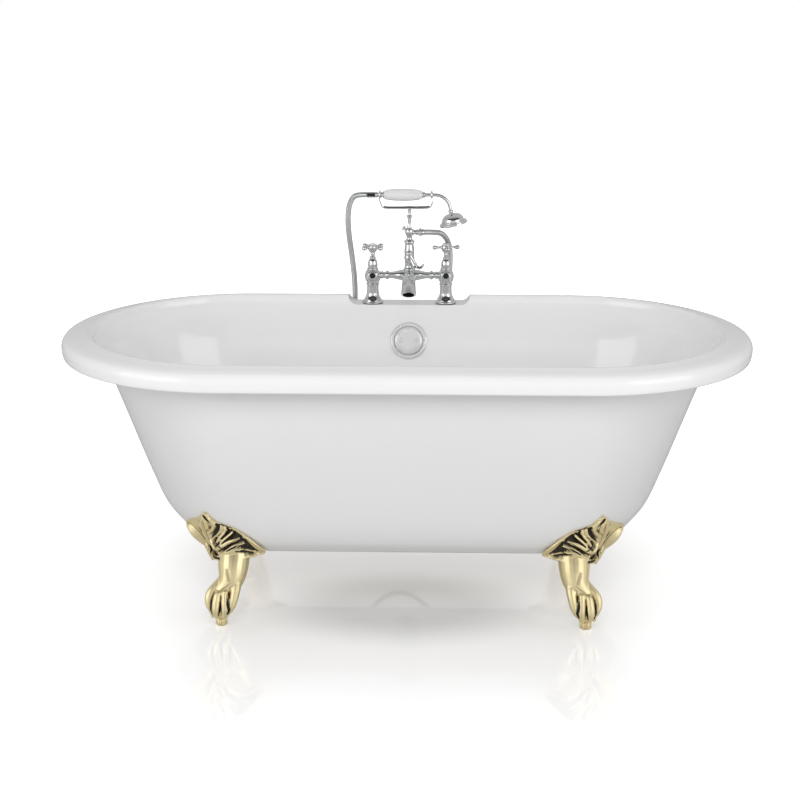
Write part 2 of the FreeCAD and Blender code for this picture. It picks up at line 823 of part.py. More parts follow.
def make_cable():
    """The pull cable from the overflow to the waste, beside the duct."""
    offset = duct_width / 2 + cable_radius + 1
    points = [Vector(offset, y, z) for y, z in duct_route()[:-1]]
    points.append(Vector(offset, waste_y + waste_body_radius * 0.82, duct_route()[-1][1]))
    return rod(points, cable_radius, [0.8 * radius for radius in bend_radii(points)])


# ---------------------------------------------------------------- mixer
def at_tap(shape, x=0.0, height=0.0):
    """Moved to the mixer's place on the deck."""
    return moved(shape, Vector(x, tap_y, tap_z + height))


def make_pillar():
    """A pillar: threaded tail, flange, column and the ball that holds the valve."""
    column = column_radius
    relief_low = connector_length - tail_length
    ball_low = ball_height - math.sqrt(ball_radius ** 2 - (column + 1) ** 2)
    seat = math.sqrt(ball_radius ** 2 - (bonnet_seat - ball_height) ** 2)
    pillar = turned([
        (tail_bore_radius, -tail_length), (tail_radius - 1, -tail_length),
        (tail_radius, 1 - tail_length), (tail_radius, relief_low), (tail_radius - 1, relief_low),
        (tail_radius - 1, relief_low + relief_width), (tail_radius, relief_low + relief_width),
        (tail_radius, 0), (flange_radius, 0), (flange_radius, 4),
        (flange_radius - 3, 6.5), (flange_radius - 5, 7), (column + 1.5, 14, column, 24),
        (column, ball_low - 6), (column + 2.5, ball_low - 4), (column + 2.5, ball_low - 2),
        (column + 1, ball_low), (ball_radius, ball_height, seat, bonnet_seat),
        (tail_bore_radius - 2, bonnet_seat), (tail_bore_radius - 2, ball_height - 8),
        (tail_bore_radius, ball_height - 12)])
    boss = turned([(0, 0), (boss_radius, 0), (boss_radius, ball_radius - 1),
                   dome(boss_radius, ball_radius - 1, ball_radius + 2.5)])
    bore = cylinder(tail_bore_radius - 2, 30, Vector(0, 0, ball_height - 10))
    pillar = pillar.fuse(moved(boss, Vector(0, 0, ball_height), Y * -1))
    return solid_of(pillar.cut(bore.common(box(60, 60, 30, Vector(-30, -30, ball_height - 10)))))


def make_bridge():
    """The bridge between the pillars, with the hub and the spout over the basin."""
    half = []
    reach = tap_x
    profile = [(0, 0), (arm_flare_radius, 0), (arm_flare_radius, hub_radius - 2),
               (arm_radius + 2, hub_radius + 10, arm_radius, hub_radius + 26),
               (arm_radius, arm_ring_offset - 2), (arm_ring_radius, arm_ring_offset - 2),
               (arm_ring_radius, arm_ring_offset + 2), (arm_radius, arm_ring_offset + 2),
               (arm_radius, reach), (0, reach)]
    for side in (-1, 1):
        half.append(moved(turned(profile), Vector(0, 0, arm_height), X * side))
    hub = turned([(0, hub_bottom), (hub_radius - 8, hub_bottom),
                  (hub_radius - 1, hub_bottom + 2, hub_radius, hub_bottom + 9),
                  (hub_radius, hub_top - 7), (hub_radius - 1.5, hub_top - 2, hub_radius - 5, hub_top),
                  (0, hub_top)])
    body = hub.fuse(half[0]).fuse(half[1])
    start = hub_top - 20
    stations = [(8, start, 0, spout_mouth_radius - 2), (-34, start, 4, spout_mouth_radius - 2),
                (-58, start - 6, 24, spout_mouth_radius - 1),
                (-76, spout_mouth_height + 9, 36, spout_mouth_radius),
                (-spout_reach, spout_mouth_height - 2, 40, spout_mouth_radius)]
    outer = []
    inner = []
    for y, z, droop, radius in stations:
        heading = Vector(0, -math.cos(math.radians(droop)), -math.sin(math.radians(droop)))
        outer.append(Part.Wire([Part.Circle(Vector(0, y, z), heading, radius).toShape()]))
        bore = radius - spout_mouth_radius + spout_bore_radius
        extra = heading * (1.5 if y == -spout_reach else 0)
        inner.append(Part.Wire([Part.Circle(Vector(0, y, z) + extra, heading, bore).toShape()]))
    spout = solid_of(Part.makeLoft(outer, True, False))
    waterway = solid_of(Part.makeLoft(inner[1:], True, False))
    body = body.fuse(spout).cut(waterway)
    for side in (-1, 1):
        ball = Part.makeSphere(ball_radius, Vector(side * tap_x, 0, ball_height))
        body = body.cut(ball).cut(cylinder(column_radius + 2.6, 2 * tap_x, Vector(side * tap_x, 0, 0)))
    body = max(body.Solids, key=lambda solid: solid.Volume)
    return at_tap(body)


def make_bonnet():
    """A bell-shaped valve cover over the ball, bored for its spindle."""
    low = bonnet_seat
    high = low + bonnet_height
    r = bonnet_radius
    bore = spindle_radius + running_clearance
    return turned([(bore, low), (r + 1, low), (r + 1, low + 5), (r - 1, low + 6),
                   (r - 0.5, low + 14, r - 3.5, low + 26), (r - 4, low + 28), (r - 3, low + 29),
                   (r - 3, low + 31), (r - 4.5, high - 2, bore + 0.6, high), (bore, high)])


def make_spindle():
    low = bonnet_seat + 2
    top = handle_bottom + handle_hub_height - 6
    return turned([(0, low), (spindle_radius, low), (spindle_radius, top), (0, top)])


def make_handle(spin):
    """A cross handle: a domed hub with four ball-ended spokes."""
    r = handle_hub_radius
    low = handle_bottom
    high = low + handle_hub_height
    hub = turned([(0, low), (r - 3.5, low), (r - 3.5, low + 2), (r - 4.5, low + 4),
                  (r - 2, low + 6, r, spoke_height - 4), (r, spoke_height + 4),
                  (r - 0.4, high - 1, cap_radius + 0.6, high), (0, high)])
    spoke = turned([(0, 0), (spoke_radius + 0.8, 0), (spoke_radius + 0.8, r + 1),
                    (spoke_radius, r + 3), (spoke_radius, spoke_reach - spoke_tip_radius + 0.6),
                    (0, spoke_reach - spoke_tip_radius + 0.6)])
    tip = Part.makeSphere(spoke_tip_radius, Vector(0, 0, spoke_reach))
    for quarter in range(4):
        angle = math.radians(spin + 90 * quarter)
        heading = Vector(math.cos(angle), math.sin(angle), 0)
        hub = hub.fuse(moved(spoke.fuse(tip), Vector(0, 0, spoke_height), heading))
    socket = cylinder(spindle_radius, 60, Vector(0, 0, handle_bottom + handle_hub_height - 66))
    recess = cylinder(cap_radius, 2, Vector(0, 0, high - 1.5))
    return solid_of(hub.cut(socket).cut(recess))


def make_cap():
    low = handle_bottom + handle_hub_height - 1.5
    return turned([(0, low), (cap_radius, low), (cap_radius, low + 1.5),
                   dome(cap_radius, low + 1.5, low + cap_height)])


def make_tap_washer():
    return ring(flange_radius - 1, tail_radius, washer_thickness, Vector(0, 0, -washer_thickness))


def make_back_nut():
    """The nut that clamps a pillar to the underside of the deck."""
    low = Vector(0, 0, -washer_thickness - shell_wall - back_nut_height)
    nut = hexagon(back_nut_flats, back_nut_height, low)
    return nut.cut(cylinder(tail_radius, 40, low - Z * 5))


def make_tower():
    """The diverter's body on the hub, with a boss at the front for the lever's spindle."""
    r = tower_radius
    tower = turned([(0, hub_top), (hub_radius - 5, hub_top), (hub_radius - 5, hub_top + 3),
                    (r, hub_top + 6), (r - 0.5, lever_height - 14), (r + 1.2, lever_height - 12),
                    (r + 1.2, lever_height - 10), (r - 0.5, lever_height - 8),
                    (r, lever_height + 4), (r - 1.5, tower_top - 8), (r + 0.5, tower_top - 6),
                    (r + 0.5, tower_top - 3), (r - 4, tower_top), (0, tower_top)])
    boss = cylinder(lever_hub_radius - 1, r + 3, Vector(0, 0, lever_height), Y * -1)
    bore = cylinder(lever_spindle_radius + running_clearance, 60, Vector(0, 5, lever_height), Y * -1)
    return solid_of(tower.fuse(boss).cut(bore))


lever_start = tower_radius + 3 + foot_fit_gap


def make_lever():
    """The diverter's lever, a curved finger on a round hub."""
    hub = cylinder(lever_hub_radius, lever_thickness, O, Y * -1)
    button = turned([(0, -1), (lever_hub_radius - 2, -1), (lever_hub_radius - 2, 0),
                     dome(lever_hub_radius - 2, 0, 2.6)])
    hub = hub.fuse(moved(button, Vector(0, -lever_thickness, 0), Y * -1))
    angle = math.radians(lever_angle)
    down = Vector(math.sin(angle), 0, -math.cos(angle))
    side = Vector(math.cos(angle), 0, math.sin(angle))
    middle = Vector(0, -lever_thickness / 2, 0)
    bend = down * (lever_length - 12)
    tip = bend + down * 7 + side * 9
    finger = rod([middle, middle + bend, middle + tip], lever_thickness / 2, [7])
    knob = Part.makeSphere(lever_thickness / 2 + 0.9, middle + tip)
    socket = cylinder(lever_spindle_radius, lever_thickness, O, Y * -1)
    lever = hub.fuse(finger).fuse(knob).cut(socket)
    return moved(solid_of(lever), Vector(0, -lever_start, lever_height), Z)


def make_lever_spindle():
    length = lever_start + lever_thickness - 1
    return cylinder(lever_spindle_radius, length, Vector(0, -1, lever_height), Y * -1)


def make_tee():
    """The outlet on top of the diverter, with an arm to the hose and a stop plug opposite."""
    r = tee_radius
    tee = turned([(0, tower_top), (r - 3, tower_top), (r - 3, tower_top + 3),
                  (r, outlet_height - 5), (r, outlet_height + 6), (r - 2, tee_top - 6),
                  (stem_radius + 1.4, tee_top), (0, tee_top)])
    arm = cylinder(outlet_radius, outlet_reach, Vector(0, 0, outlet_height), X)
    stop = turned([(0, 0), (5, 0), (4, r + 3), (5.5, r + 4), (5.5, r + 7), (3, r + 10), (0, r + 10)])
    stop = moved(stop, Vector(0, 0, outlet_height), Vector(-0.8, 0, 0.6))
    bore = cylinder(outlet_radius - 2, outlet_reach + 2, Vector(0, 0, outlet_height), X)
    return solid_of(tee.fuse(arm).fuse(stop).cut(bore))


def make_hose_nut():
    """The hexagon-and-cone nut that holds the hose on the outlet."""
    r = hose_nut_radius
    nut = turned([(outlet_radius - 2, 0), (r, 0), (r, 4), (r - 1, 5), (r - 1, 8),
                  (hose_radius + 0.6, hose_nut_length), (outlet_radius - 2, hose_nut_length)])
    return moved(nut, Vector(outlet_reach, 0, outlet_height), X)


def make_stem():
    r = stem_radius
    ring_r = stem_ring_radius
    low = stem_ring_height - 3
    return turned([(0, tee_top), (r, tee_top), (r, low), (ring_r, low + 1.5, r + 1, low + 3),
                   (ring_r + 1, low + 4.5, r, low + 6), (r, cradle_height), (0, cradle_height)])


def fork_reach(held_radius):
    """From the handset's axis to the middle of the fork's rod that cups it."""
    return held_radius + fork_gap + cradle_rod_radius


def make_cradle():
    """The cradle: a bent rod whose two ends carry open forks that cup the handset."""
    left_reach = fork_reach(tail_neck_radius)
    right_reach = fork_reach(neck_radius)
    left_low = Vector(-fork_left, 0, handset_height - left_reach)
    right_low = Vector(fork_right, 0, handset_height - right_reach)
    bend = cradle_bend_radius
    path = [left_low, Vector(-fork_left + 12, 0, cradle_height),
            Vector(fork_right - 2, 0, cradle_height), right_low]
    cradle = rod(path, cradle_rod_radius, [bend, bend])
    for x, reach in ((-fork_left, left_reach), (fork_right, right_reach)):
        rise = handset_height + fork_rise
        middle = reach * math.sqrt(0.5)
        front = Vector(x, -reach, handset_height)
        back = Vector(x, reach, handset_height)
        low = Vector(x, 0, handset_height - reach)
        start = Vector(x, -reach, rise)
        wire = Part.Wire([
            Part.LineSegment(start, front).toShape(),
            Part.Arc(front, Vector(x, -middle, handset_height - middle), low).toShape(),
            Part.Arc(low, Vector(x, middle, handset_height - middle), back).toShape(),
            Part.LineSegment(back, Vector(x, reach, rise)).toShape()])
        section = Part.Wire([Part.Circle(start, Z, cradle_rod_radius * 0.7).toShape()])
        cradle = cradle.fuse(solid_of(wire.makePipeShell([section], True, True)))
        for side in (-1, 1):
            knob = Part.makeSphere(cradle_rod_radius * 1.05, Vector(x, side * reach, rise))
            cradle = cradle.fuse(knob)
    seat = cylinder(stem_radius, cradle_height, O)
    return solid_of(cradle.cut(seat))


# ---------------------------------------------------------------- handset
def along_handset(profile, start):
    """A turned piece along the handset's axis, from a place along it."""
    return moved(turned(profile), Vector(start, 0, handset_height), X)


def neck_end():
    """Where the handset's neck ends, and its direction there."""
    turn = math.radians(neck_bend_turn)
    heading = Vector(math.cos(turn), 0, -math.sin(turn))
    x = neck_bend_start + neck_bend_radius * math.sin(turn)
    z = handset_height - neck_bend_radius * (1 - math.cos(turn))
    return Vector(x, 0, z) + heading * neck_straight, heading


def neck_tube(radius, start):
    turn = math.radians(neck_bend_turn)
    end, heading = neck_end()
    first = Vector(neck_bend_start, 0, handset_height)
    last = end - heading * neck_straight
    middle = first + Vector(neck_bend_radius * math.sin(turn / 2), 0,
                            -neck_bend_radius * (1 - math.cos(turn / 2)))
    begin = Vector(start, 0, handset_height)
    wire = Part.Wire([Part.LineSegment(begin, first).toShape(),
                      Part.Arc(first, middle, last).toShape(),
                      Part.LineSegment(last, end).toShape()])
    section = Part.Wire([Part.Circle(begin, X, radius).toShape()])
    return solid_of(wire.makePipeShell([section], True, True))


def make_handset():
    """The telephone-style handset, piece by piece, round its own axis."""
    g = grip_radius
    length = grip_start - grip_end
    bore = neck_bore_radius
    grip = along_handset([
        (bore, 0), (g - 1.2, 0), (g - 0.4, 2), (g - 0.4, 4), (g, 5), (g, length - 8),
        (g - 1.5, length - 6), (g - 1.5, length - 4), (g - 0.5, length - 3),
        (g - 0.5, length - 1.5), (tail_neck_radius, length), (bore, length)], -grip_start)
    tail_length_x = grip_end - barrel_start
    neck_part = tail_length_x - ferrule_length + 1
    r = barrel_end_radius
    tail = along_handset([
        (bore, 0), (tail_neck_radius, 0), (tail_neck_radius, neck_part), (r - 1, neck_part + 1),
        (r - 1, neck_part + 2.5), (r - 2, neck_part + 4), (r, tail_length_x - 1.5),
        (r, tail_length_x), (bore, tail_length_x)], -grip_end)
    span = barrel_start + barrel_end
    barrel = along_handset([
        (bore, 0), (r, 0), (barrel_radius * 0.9, span * 0.2, barrel_radius, span * 0.5),
        (barrel_radius * 0.9, span * 0.8, r, span), (bore, span)], -barrel_start)
    f = ferrule_length
    ferrule = along_handset([
        (bore, 0), (r, 0), (r, 1.5), (r - 2, 3.5), (r - 1, f - 4), (r - 1, f - 2.5),
        (neck_radius + 1, f), (bore, f)], barrel_end)
    neck_start = barrel_end + f
    neck = neck_tube(neck_radius, neck_start).cut(neck_tube(bore, neck_start - 1))
    end, heading = neck_end()
    n = rose_nut_radius
    base = rose_nut_length
    full = base + bell_length
    wall = bell_wall
    bell = moved(turned([
        (bore, 0), (n - 1, 0), (n, 1.5), (n, base - 1.5), (n - 1.4, base),
        (n, base + 4), (bell_radius * 0.42, base + bell_length * 0.45,
                        bell_radius * 0.8, base + bell_length * 0.72),
        (bell_radius, full - 5), (bell_radius, full),
        (bell_radius - wall, full), (bell_radius - wall, full - 4.5),
        (bell_radius * 0.8 - wall, base + bell_length * 0.72 + wall),
        (bell_radius * 0.42 - wall, base + bell_length * 0.45 + wall, bore, base + 6)]), end, heading)
    plate_low = full - rose_plate_thickness - 0.5
    plate = cylinder(bell_radius - wall, rose_plate_thickness, Vector(0, 0, plate_low))
    for ring_index in range(1, rose_hole_rings + 1):
        radius = ring_index * (bell_radius - wall - 5) / rose_hole_rings
        for hole in range(6 * ring_index):
            angle = math.tau * hole / (6 * ring_index)
            place = Vector(radius * math.cos(angle), radius * math.sin(angle), plate_low - 1)
            plate = plate.cut(cylinder(rose_hole_radius, rose_plate_thickness + 2, place))
    plate = moved(plate, end, heading)
    return grip, tail, barrel, ferrule, neck, bell, plate


# ---------------------------------------------------------------- shower hose
hose_start = Vector(outlet_reach + hose_nut_length, tap_y, tap_z + outlet_height)
hose_end = Vector(-grip_start, tap_y, tap_z + handset_height)
hose_route = [
    hose_start,
    Vector(58, 352, 768),
    Vector(81, 365, 763),
    Vector(100, 396, 735),
    Vector(106, 410, 688),
    Vector(107, 414, 634),
    Vector(105, 412, 572),
    Vector(103, 413, 496),
    Vector(99, 411, 416),
    Vector(88, 412, 336),
    Vector(62, 410, 262),
    Vector(12, 412, 208),
    Vector(-50, 410, 202),
    Vector(-102, 411, 246),
    Vector(-130, 410, 318),
    Vector(-138, 412, 400),
    Vector(-139, 411, 486),
    Vector(-137, 412, 568),
    Vector(-137, 408, 640),
    Vector(-142, 396, 703),
    Vector(-149, 378, 756),
    Vector(-155, 362, 804),
    Vector(-156, 354, 834),
    Vector(-147, 353, 853),
    Vector(-129, 352, 864),
    hose_end,
]


def make_hose():
    radii = bend_radii(hose_route)
    hose = rod(hose_route, hose_radius, radii)
    path_length = rounded_path(hose_route, radii).Length
    section = math.pi * hose_radius ** 2
    print("hose length", round(path_length), "mm, volume over section x length",
          round(hose.Volume / section / path_length, 4))
    print("hose bend radii", [round(radius) for radius in radii])
    return hose


# ---------------------------------------------------------------- the whole bath
def build():
    shell, basin_outside = make_bath_shell()
    skirt = make_skirt(basin_outside)
    board = make_board()
    room = stacked(skirt_levels, foot_fit_gap)
    wrap = [(skirt_bottom - leaf_thickness, skirt_bottom_end_inset, skirt_bottom_side_inset)]
    leaf_outside = stacked(wrap + skirt_levels[1:], leaf_thickness)
    for hole in foot_bolt_holes():
        for drilled in four_corners(hole).values():
            skirt = skirt.cut(drilled)
            board = board.cut(drilled)
    parts["bath_shell"] = shell
    parts["outer_skirt"] = skirt
    parts["base_board"] = board
    for corner, foot in four_corners(make_foot(room, leaf_outside)).items():
        parts["claw_foot_" + corner] = foot
    for corner, screw in four_corners(make_levelling_screw()).items():
        parts["levelling_screw_" + corner] = screw
    groups = {
        "foot_plates": [make_foot_plate()],
        "foot_bolts": make_foot_bolts(),
        "foot_nuts": make_foot_nuts(),
        "levelling_nuts": [make_levelling_nut()],
    }
    for name, pieces in groups.items():
        copies = []
        for piece in pieces:
            copies.extend(solid_of(copy) for copy in four_corners(piece).values())
        parts[name] = Part.makeCompound(copies)

    waste_names = ("waste_flange", "waste_gasket", "waste_body", "waste_plug", "plug_seal")
    parts.update(zip(waste_names, make_waste()))
    overflow_names = ("overflow_ring", "overflow_body", "overflow_dial")
    parts.update(zip(overflow_names, make_overflow(shell)))
    parts["overflow_duct"] = make_duct(parts["waste_body"], parts["overflow_body"])
    parts["pop_up_cable"] = make_cable()

    pillar = make_pillar()
    parts["bridge_and_spout"] = make_bridge()
    for name, side, spin in (("hot", -1, 45), ("cold", 1, 8)):
        x = side * tap_x
        parts[name + "_pillar"] = at_tap(pillar, x)
        parts[name + "_bonnet"] = at_tap(make_bonnet(), x)
        parts[name + "_spindle"] = at_tap(make_spindle(), x)
        parts[name + "_handle"] = at_tap(make_handle(spin), x)
        parts[name + "_cap"] = at_tap(make_cap(), x)
    parts["tap_washers"] = Part.makeCompound(
        [solid_of(at_tap(make_tap_washer(), side * tap_x)) for side in (-1, 1)])
    parts["tap_back_nuts"] = Part.makeCompound(
        [solid_of(at_tap(make_back_nut(), side * tap_x)) for side in (-1, 1)])
    for name, piece in (("diverter_tower", make_tower()), ("diverter_lever", make_lever()),
                        ("diverter_spindle", make_lever_spindle()), ("shower_tee", make_tee()),
                        ("hose_nut", make_hose_nut()), ("cradle_stem", make_stem()),
                        ("handset_cradle", make_cradle())):
        parts[name] = at_tap(piece)
    handset_names = ("handset_grip", "handset_tail", "handset_barrel", "handset_ferrule",
                     "handset_neck", "rose_bell", "rose_plate")
    for name, piece in zip(handset_names, make_handset()):
        parts[name] = at_tap(piece)
    parts["shower_hose"] = make_hose()


build()
os.makedirs("parts", exist_ok=True)
for name, shape in parts.items():
    shape.exportStep("parts/" + name + ".step")
print(len(parts), "nodes")
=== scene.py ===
import json
import math

import bmesh
import bpy
from mathutils import Euler, Matrix, Vector
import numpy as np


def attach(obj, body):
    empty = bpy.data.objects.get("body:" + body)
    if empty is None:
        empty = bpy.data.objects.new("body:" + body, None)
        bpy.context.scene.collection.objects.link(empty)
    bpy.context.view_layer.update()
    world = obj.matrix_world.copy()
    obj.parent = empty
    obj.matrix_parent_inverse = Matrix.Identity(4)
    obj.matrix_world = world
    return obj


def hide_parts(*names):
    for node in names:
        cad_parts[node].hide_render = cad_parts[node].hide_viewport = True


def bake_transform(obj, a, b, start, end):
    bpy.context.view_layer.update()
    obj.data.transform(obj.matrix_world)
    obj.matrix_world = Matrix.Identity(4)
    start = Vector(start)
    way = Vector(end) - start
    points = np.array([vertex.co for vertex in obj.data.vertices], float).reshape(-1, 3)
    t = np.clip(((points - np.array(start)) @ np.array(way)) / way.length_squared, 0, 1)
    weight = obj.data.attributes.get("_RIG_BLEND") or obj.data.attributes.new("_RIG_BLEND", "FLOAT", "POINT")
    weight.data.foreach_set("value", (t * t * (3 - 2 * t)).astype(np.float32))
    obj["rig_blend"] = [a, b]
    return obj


# Roll-top bath on four claw feet with a pillar bath and shower mixer.  The shapes below are
# worked out in millimetres and made metres once, when a piece is finished.  The origin is on
# the floor under the middle of the bath: +X along its length, +Y to the rear, +Z up.

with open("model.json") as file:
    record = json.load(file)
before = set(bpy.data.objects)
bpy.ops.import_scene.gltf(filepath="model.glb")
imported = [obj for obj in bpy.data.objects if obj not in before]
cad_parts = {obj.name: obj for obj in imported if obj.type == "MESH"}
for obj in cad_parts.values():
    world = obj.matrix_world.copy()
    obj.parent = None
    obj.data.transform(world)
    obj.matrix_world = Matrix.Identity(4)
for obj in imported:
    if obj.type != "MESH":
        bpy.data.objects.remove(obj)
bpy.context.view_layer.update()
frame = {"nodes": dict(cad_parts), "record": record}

MM = 0.001
X, Y, Z = Vector((1, 0, 0)), Vector((0, 1, 0)), Vector((0, 0, 1))

# ------------------------------------------------------------------ sizes
half_length = 775.0
half_width = 388.0
rim_height = 620.0
rim_bottom = 572.0
rim_width_end = 73.0
rim_width_side = 58.0
shell_wall = 6.0
skirt_bottom = 160.0
skirt_wall = 5.0
basin_floor = 189.0
deck_z = 596.0
deck_half = 149.0
deck_end_radius = 21.0
deck_near = 318.0
tap_y = 352.0
tap_z = 598.0
tap_x = 90.0
mixer_heights = 0.967
waste_y = 40.0
overflow_height = 516.0
foot_place = Vector((403, 252, 0))
foot_angle = math.radians(60)
paw_angle = math.radians(84)
leaf_low_edge = 136.0       # the carving above it is the leaf's, below it the paw's
leaf_swell = 34.0
leaf_cut = 5.0
# Painted shade: whatever is raised less than leaf_floor_depth between the locks gets the near-black groove
# colour.
leaf_floor_depth = 6.2      # whatever is raised less than this between the locks is dark
ankle_low, ankle_high = 84.0, 128.0
claws_top = 52.0
carve_depth = 3.4
carve_grain = 1.8
skirt_clearance = 0.4
pad_top = 24.4
dial_dot_place = 18.0
drain_radius = 26.0
pillar_eye_height = 72.0
spout_mouth = Vector((0, -88, 38.5))
spout_wall = 4.2
tee_height = 180.5
fork_left = -72.6
fork_right = 54.0
fork_rise = 275.0
handset_z = 266.0
neck_start = 62.0
neck_bend = 37.0
neck_turn = math.radians(77)
knurl_teeth = 96
knurl_depth = 0.5
hose_radius = 6.8
hose_sides = 20
hose_strip_pitch = 0.0034


# ------------------------------------------------------------------ camera and light
def add_camera():
    """The photograph's view: 72 mm lens, 16.4 degrees down, a little to the right."""
    camera = bpy.data.objects.new("camera", bpy.data.cameras.new("camera"))
    camera.data.lens = 71.87
    camera.data.sensor_width = 36
    camera.data.clip_end = 60
    side = math.radians(1.3)
    camera.location = (3.508 * math.sin(side), -3.508 * math.cos(side), 1.478)
    turn = side + math.radians(0.222)
    camera.rotation_euler = Euler((math.radians(90 - 16.36), 0, turn), "XYZ")
    bpy.context.scene.collection.objects.link(camera)
    bpy.context.scene.camera = camera


def add_softbox(name, place, aim, size, power, mirrored=True):
    """A soft square lamp; one that isn't mirrored lights the bath but doesn't show in its gloss."""
    lamp = bpy.data.lights.new(name, "AREA")
    lamp.shape = "RECTANGLE"
    lamp.size, lamp.size_y = size
    lamp.energy = power
    box = bpy.data.objects.new(name, lamp)
    box.location = place
    box.visible_glossy = mirrored
    box.rotation_euler = (Vector(aim) - Vector(place)).to_track_quat("-Z", "Y").to_euler()
    bpy.context.scene.collection.objects.link(box)


def add_range(nodes, from_min, from_max, to_min=0.0, to_max=1.0, smooth=True):
    """A Map Range node, with soft ends unless told otherwise."""
    node = nodes.new("ShaderNodeMapRange")
    node.interpolation_type = "SMOOTHSTEP" if smooth else "LINEAR"
    values = (from_min, from_max, to_min, to_max)
    for key, value in zip(("From Min", "From Max", "To Min", "To Max"), values):
        node.inputs[key].default_value = value
    return node


def add_math(nodes, operation):
    node = nodes.new("ShaderNodeMath")
    node.operation = operation
    return node


def add_world():
    """A white studio.  Reflections find it dark high up behind the camera."""
    world = bpy.data.worlds.new("studio")
    world.use_nodes = True
    bpy.context.scene.world = world
    nodes, links = world.node_tree.nodes, world.node_tree.links
    nodes.clear()
    out = nodes.new("ShaderNodeOutputWorld")
    room = nodes.new("ShaderNodeBackground")
    white = nodes.new("ShaderNodeBackground")
    white.inputs["Color"].default_value = (1, 1, 1, 1)
    choose = nodes.new("ShaderNodeMixShader")
    rays = nodes.new("ShaderNodeLightPath")
    coords = nodes.new("ShaderNodeTexCoord")
    split = nodes.new("ShaderNodeSeparateXYZ")
    behind = add_range(nodes, 0.05, -0.35)
    low = nodes.new("ShaderNodeValToRGB")
    stops = ((0.0, 0.85), (0.05, 1.0), (0.30, 0.96), (0.48, 0.08), (0.68, 0.06), (0.90, 0.42))
    while len(low.color_ramp.elements) < len(stops):
        low.color_ramp.elements.new(0.5)
    for element, (place, level) in zip(low.color_ramp.elements, stops):
        element.position = place
        element.color = (level, level, level, 1)
    blend = nodes.new("ShaderNodeMix")
    blend.inputs["A"].default_value = 0.70
    links.new(coords.outputs["Generated"], split.inputs["Vector"])
    links.new(split.outputs["Z"], low.inputs["Fac"])
    links.new(split.outputs["Y"], behind.inputs["Value"])
    links.new(behind.outputs["Result"], blend.inputs["Factor"])
    links.new(low.outputs["Color"], blend.inputs["B"])
    links.new(blend.outputs["Result"], room.inputs["Strength"])
    links.new(rays.outputs["Is Camera Ray"], choose.inputs["Fac"])
    links.new(room.outputs["Background"], choose.inputs[1])
    links.new(white.outputs["Background"], choose.inputs[2])
    links.new(choose.outputs["Shader"], out.inputs["Surface"])


# ------------------------------------------------------------------ finishes
def group_sockets(group, inputs, outputs):
    for name, kind, value in inputs:
        socket = group.interface.new_socket(name, in_out="INPUT", socket_type=kind)
        socket.default_value = value
    for name, kind in outputs:
        group.interface.new_socket(name, in_out="OUTPUT", socket_type=kind)


def make_handling_marks():
    """Soft, uneven wipe marks over a polished face, as a change of roughness and of height."""
    group = bpy.data.node_groups.new("handling_marks", "ShaderNodeTree")
    group_sockets(group, [("Scale", "NodeSocketFloat", 6.0), ("Dull", "NodeSocketFloat", 0.2),
                          ("Bright", "NodeSocketFloat", 0.1)],
                  [("Roughness", "NodeSocketFloat"), ("Mask", "NodeSocketFloat"),
                   ("Height", "NodeSocketFloat")])
    nodes, links = group.nodes, group.links
    enter = nodes.new("NodeGroupInput")
    leave = nodes.new("NodeGroupOutput")
    coords = nodes.new("ShaderNodeTexCoord")
    broad = nodes.new("ShaderNodeTexNoise")
    broad.inputs["Detail"].default_value = 4
    broad.inputs["Roughness"].default_value = 0.55
    fine = nodes.new("ShaderNodeTexNoise")
    fine.inputs["Scale"].default_value = 900
    fine.inputs["Detail"].default_value = 2
    spread = add_range(nodes, 0.35, 0.68, smooth=False)
    links.new(coords.outputs["Object"], broad.inputs["Vector"])
    links.new(coords.outputs["Object"], fine.inputs["Vector"])
    links.new(enter.outputs["Scale"], broad.inputs["Scale"])
    links.new(broad.outputs["Fac"], spread.inputs["Value"])
    links.new(enter.outputs["Bright"], spread.inputs["To Min"])
    links.new(enter.outputs["Dull"], spread.inputs["To Max"])
    links.new(spread.outputs["Result"], leave.inputs["Roughness"])
    links.new(broad.outputs["Fac"], leave.inputs["Mask"])
    links.new(fine.outputs["Fac"], leave.inputs["Height"])
    return group


def make_finish(name, colour, second, metallic, bright, dull, scale=6.0, grain=0.0, coat=0.0):
    """A material whose colour, gloss and grain change gently over the piece."""
    material = bpy.data.materials.new(name)
    material.use_nodes = True
    nodes, links = material.node_tree.nodes, material.node_tree.links
    shader = nodes["Principled BSDF"]
    shader.inputs["Metallic"].default_value = metallic
    shader.inputs["Coat Weight"].default_value = coat
    shader.inputs["Coat Roughness"].default_value = 0.03
    marks = nodes.new("ShaderNodeGroup")
    marks.node_tree = handling_marks
    marks.inputs["Scale"].default_value = scale
    marks.inputs["Bright"].default_value = bright
    marks.inputs["Dull"].default_value = dull
    tint = nodes.new("ShaderNodeMix")
    tint.data_type = "RGBA"
    tint.inputs["A"].default_value = (*colour, 1)
    tint.inputs["B"].default_value = (*second, 1)
    bump = nodes.new("ShaderNodeBump")
    bump.inputs["Strength"].default_value = grain
    bump.inputs["Distance"].default_value = 0.0004
    links.new(marks.outputs["Mask"], tint.inputs["Factor"])
    links.new(tint.outputs["Result"], shader.inputs["Base Color"])
    links.new(marks.outputs["Roughness"], shader.inputs["Roughness"])
    links.new(marks.outputs["Height"], bump.inputs["Height"])
    links.new(bump.outputs["Normal"], shader.inputs["Normal"])
    return material


